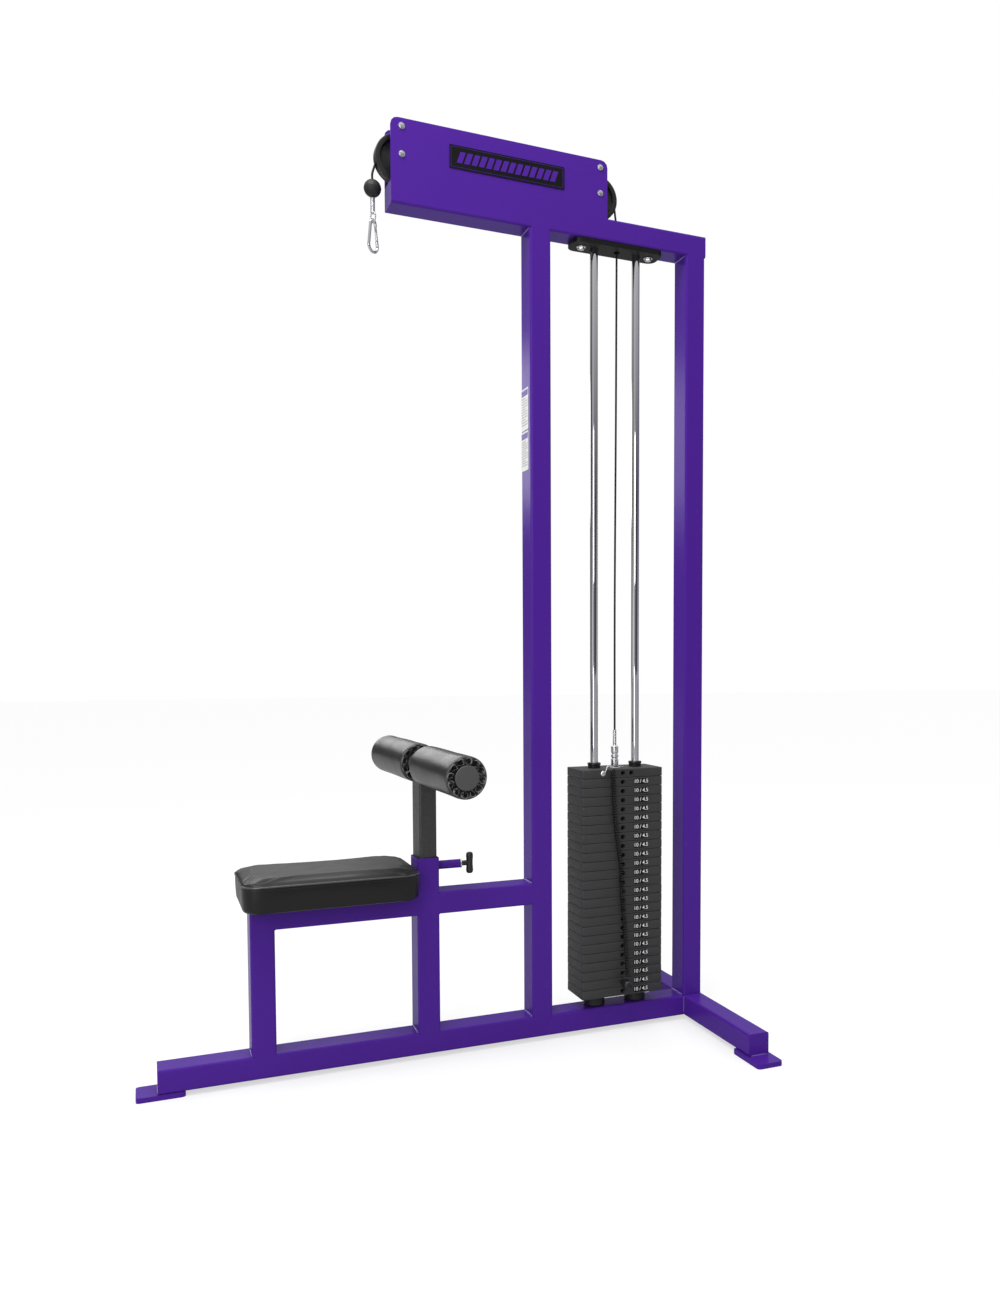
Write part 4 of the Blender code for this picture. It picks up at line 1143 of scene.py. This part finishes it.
# --- Thigh rollers ----------------------------------------------------------------------------------------
def roller(side):
    spin = JOINTS[f"{side}_roller_spin"]
    sign = -1 if side == "right" else 1
    out = Vector(spin["axis"]).normalized()
    if out.y * sign < 0:
        out = -out
    origin = Vector(spin["pos_m"])
    radius, cap_radius, bar, rim_round = 0.0515, 0.0300, 0.0131, 0.0050
    inner, outer = 0.035, 0.308
    draw = random.Random(11 if side == "right" else 12)
    pleats, around, lip_steps = 12, 240, 28
    edges = []
    for k in range(pleats):
        edges.append((k + draw.uniform(-0.13, 0.13)) * 2 * math.pi / pleats)
    edges.append(edges[0] + 2 * math.pi)
    depths = [draw.uniform(0.0100, 0.0135) for _ in range(pleats)]

    def fold(angle):
        """How deep the gathered cover sinks at an angle: nothing on a fold's ridge, most between two."""
        angle = (angle - edges[0]) % (2 * math.pi) + edges[0]
        for k in range(pleats):
            if edges[k] <= angle < edges[k + 1]:
                t = (angle - edges[k]) / (edges[k + 1] - edges[k])
                off = min(t, 1 - t) * (edges[k + 1] - edges[k]) / 0.07
                return depths[k] * math.sin(math.pi * t) ** 1.1 - 0.0026 * math.exp(-off * off)
        return 0.0

    profile = []
    for t in (0.0, 0.25, 0.5, 0.75, 1.0):
        profile.append((bar + (cap_radius - 0.002 - bar) * t, 0.0020, 0.0))
    for i in range(1, 15):
        t = i / 15
        reach = cap_radius - 0.002 + (radius - rim_round - cap_radius + 0.002) * t
        profile.append((reach, 0.0020 - 0.0020 * t, min(t / 0.16, 1) ** 0.7 * (1 - max(0, (t - 0.5) / 0.5) ** 2)))
    for i in range(9):
        angle = math.radians(90) * i / 8
        profile.append((radius - rim_round + rim_round * math.sin(angle), rim_round * (1 - math.cos(angle)), 0.0))
    body_steps = 40
    bm = bmesh.new()
    turn = Vector((0, 0, 1)).rotation_difference(out).to_matrix()
    rings = []
    whole = outer - inner

    def ring(reach, along, depth, rim):
        points = []
        for k in range(around):
            angle = 2 * math.pi * k / around
            sink = fold(angle if along < whole / 2 else angle + 0.2) * depth
            level = along + sink if along < whole / 2 else along - sink
            uneven = noise.noise(Vector((math.cos(angle) * 1.4, math.sin(angle) * 1.4, level * 14 + sign)))
            pucker = 0.0009 * math.exp(-min(along, whole - along) / 0.010) * math.cos(pleats * angle + 1)
            wide = reach + (uneven * 0.0007 - max(pucker, -0.0004) if rim else 0)
            local = Vector((wide * math.cos(angle), wide * math.sin(angle), inner + level))
            points.append(origin + turn @ local)
        rings.append(points)

    for reach, along, depth in profile:
        ring(reach, along, depth, False)
    for i in range(1, body_steps):
        t = i / body_steps
        ring(radius, rim_round + (whole - 2 * rim_round) * t, 0, True)
    for reach, along, depth in reversed(profile):
        ring(reach, whole - along, depth, False)
    loft(bm, rings, closed=True)
    cover = add(
        f"padded_roller_{side}", bm, "roller_vinyl", f"{side}_roller", (f"foam_roller_{side}",), 65
    )
    graph = bpy.context.evaluated_depsgraph_get()
    posed = cover.evaluated_get(graph)
    # Thin tubes along each pleat's outline in light grey vinyl: painted highlights on the fold ridges of the black
    # cover.
    fold_highlight_tubes = bmesh.new()
    for outward, start in ((out, outer), (-out, inner)):
        for k in range(pleats):
            gap = edges[k + 1] - edges[k]
            loop = []
            for i in range(lip_steps):
                turned = 2 * math.pi * i / lip_steps
                angle = edges[k] + gap * (0.5 + 0.40 * math.sin(turned))
                angle += 0 if outward == -out else 0.2
                reach = (cap_radius + radius) / 2 - 0.0010 + 0.0078 * math.cos(turned)
                spot = Vector((reach * math.cos(angle), reach * math.sin(angle), 0))
                above = origin + turn @ spot + out * start + outward * 0.02
                hit, place, normal, _ = posed.ray_cast(above, -outward)
                if hit:
                    loop.append(place + outward * 0.0002)
            tube(loop, 0.0008, 6, closed=True, bm=fold_highlight_tubes)
    lip_highlight_piece = add(f"pleat_lip_highlights_{side}", fold_highlight_tubes, "painted_fold_highlight", f"{side}_roller", smooth=60)

    cap = [
        (0, outer + 0.0004), (cap_radius - 0.0005, outer + 0.0004), (cap_radius, outer + 0.0012),
        (cap_radius, outer + 0.0028), (cap_radius - 0.0014, outer + 0.0040), (0, outer + 0.0040),
    ]
    disc = lathe(eased(cap, 0.0007), origin, out, 96)
    add(f"end_disc_{side}", disc, "disc", "thigh_post", (f"roller_cap_{side}",))
    plate = [
        (bar, inner - 0.0016), (cap_radius - 0.0005, inner - 0.0016), (cap_radius, inner - 0.0006),
        (cap_radius, inner + 0.0016), (bar, inner + 0.0016),
    ]
    add(
        f"inner_washer_{side}", lathe(eased(plate, 0.0005), origin, out, 96), "disc", "thigh_post"
    )


MATERIALS["disc"] = finish(
    "disc_plastic", (0.070, 0.070, 0.071), 0.50, spread=0.10, patches=80, grain=(1500, 0.00006), cells=(900, 0.00005)
)


# --- Pop pin ----------------------------------------------------------------------------------------------
def pop_pin():
    low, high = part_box("pop_pin_barrel")
    centre = middle("pop_pin_barrel")
    wall, end = low.x, high.x
    outer = (high.z - low.z) / 2
    profile = [(0.0082, 0.0003), (outer, 0.0003), (outer, end - wall), (0.0082, end - wall)]
    sleeve = lathe(eased(profile, 0.0008), (wall, 0, centre.z), (1, 0, 0), 48)
    add("pin_sleeve", sleeve, "purple_paint", "frame", ("pop_pin_barrel",))
    low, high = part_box("pop_pin_collar")
    outer = (high.z - low.z) / 2
    ring = [(0.0062, low.x - wall), (outer, low.x - wall), (outer, high.x - wall), (0.0062, high.x - wall)]
    add(
        "pin_ring", lathe(eased(ring, 0.0007), (wall, 0, centre.z), (1, 0, 0), 48), "zinc", "frame",
        ("pop_pin_collar",),
    )
    low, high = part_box("pop_pin_plunger")
    half = (high.z - low.z) / 2
    grip = high.x - 0.0094 - wall
    stem = [
        (0, low.x - wall), (0.0035, low.x - wall), (0.0050, low.x - wall + 0.0015), (0.0050, 0.0100),
        (0.0078, 0.0100), (0.0078, 0.0130), (0.0045, 0.0130), (0.0045, end - wall - 0.002),
        (0.0056, end - wall - 0.002), (0.0056, end - wall + 0.006), (0.0068, end - wall + 0.0075),
        (0.0068, grip), (0, grip),
    ]
    handle = lathe(eased(stem, 0.0006), (wall, 0, centre.z), (1, 0, 0), 48)
    ends = [(0, -half), (0.0050, -half), (0.0074, -half + 0.0012), (0.0088, -half + 0.004), (0.0094, -half + 0.009)]
    bar = ends + [(0.0086, -0.006), (0.0084, 0)] + [(0.0086, 0.006)]
    bar += [(radius, -along) for radius, along in reversed(ends)]
    lathe(eased(bar, 0.0012), (wall + grip, 0, centre.z), (0, 0, 1), 64, bm=handle)
    add("pull_handle", handle, "black_plastic", "plunger", ("pop_pin_plunger",), 50)


camera()
studio()
paint_frame()
welds()
stickers()
stack()
rods()
stack_fittings()
lanyard()
pulleys()
cable()
hook_end()
seat()
roller("right")
roller("left")
pop_pin()
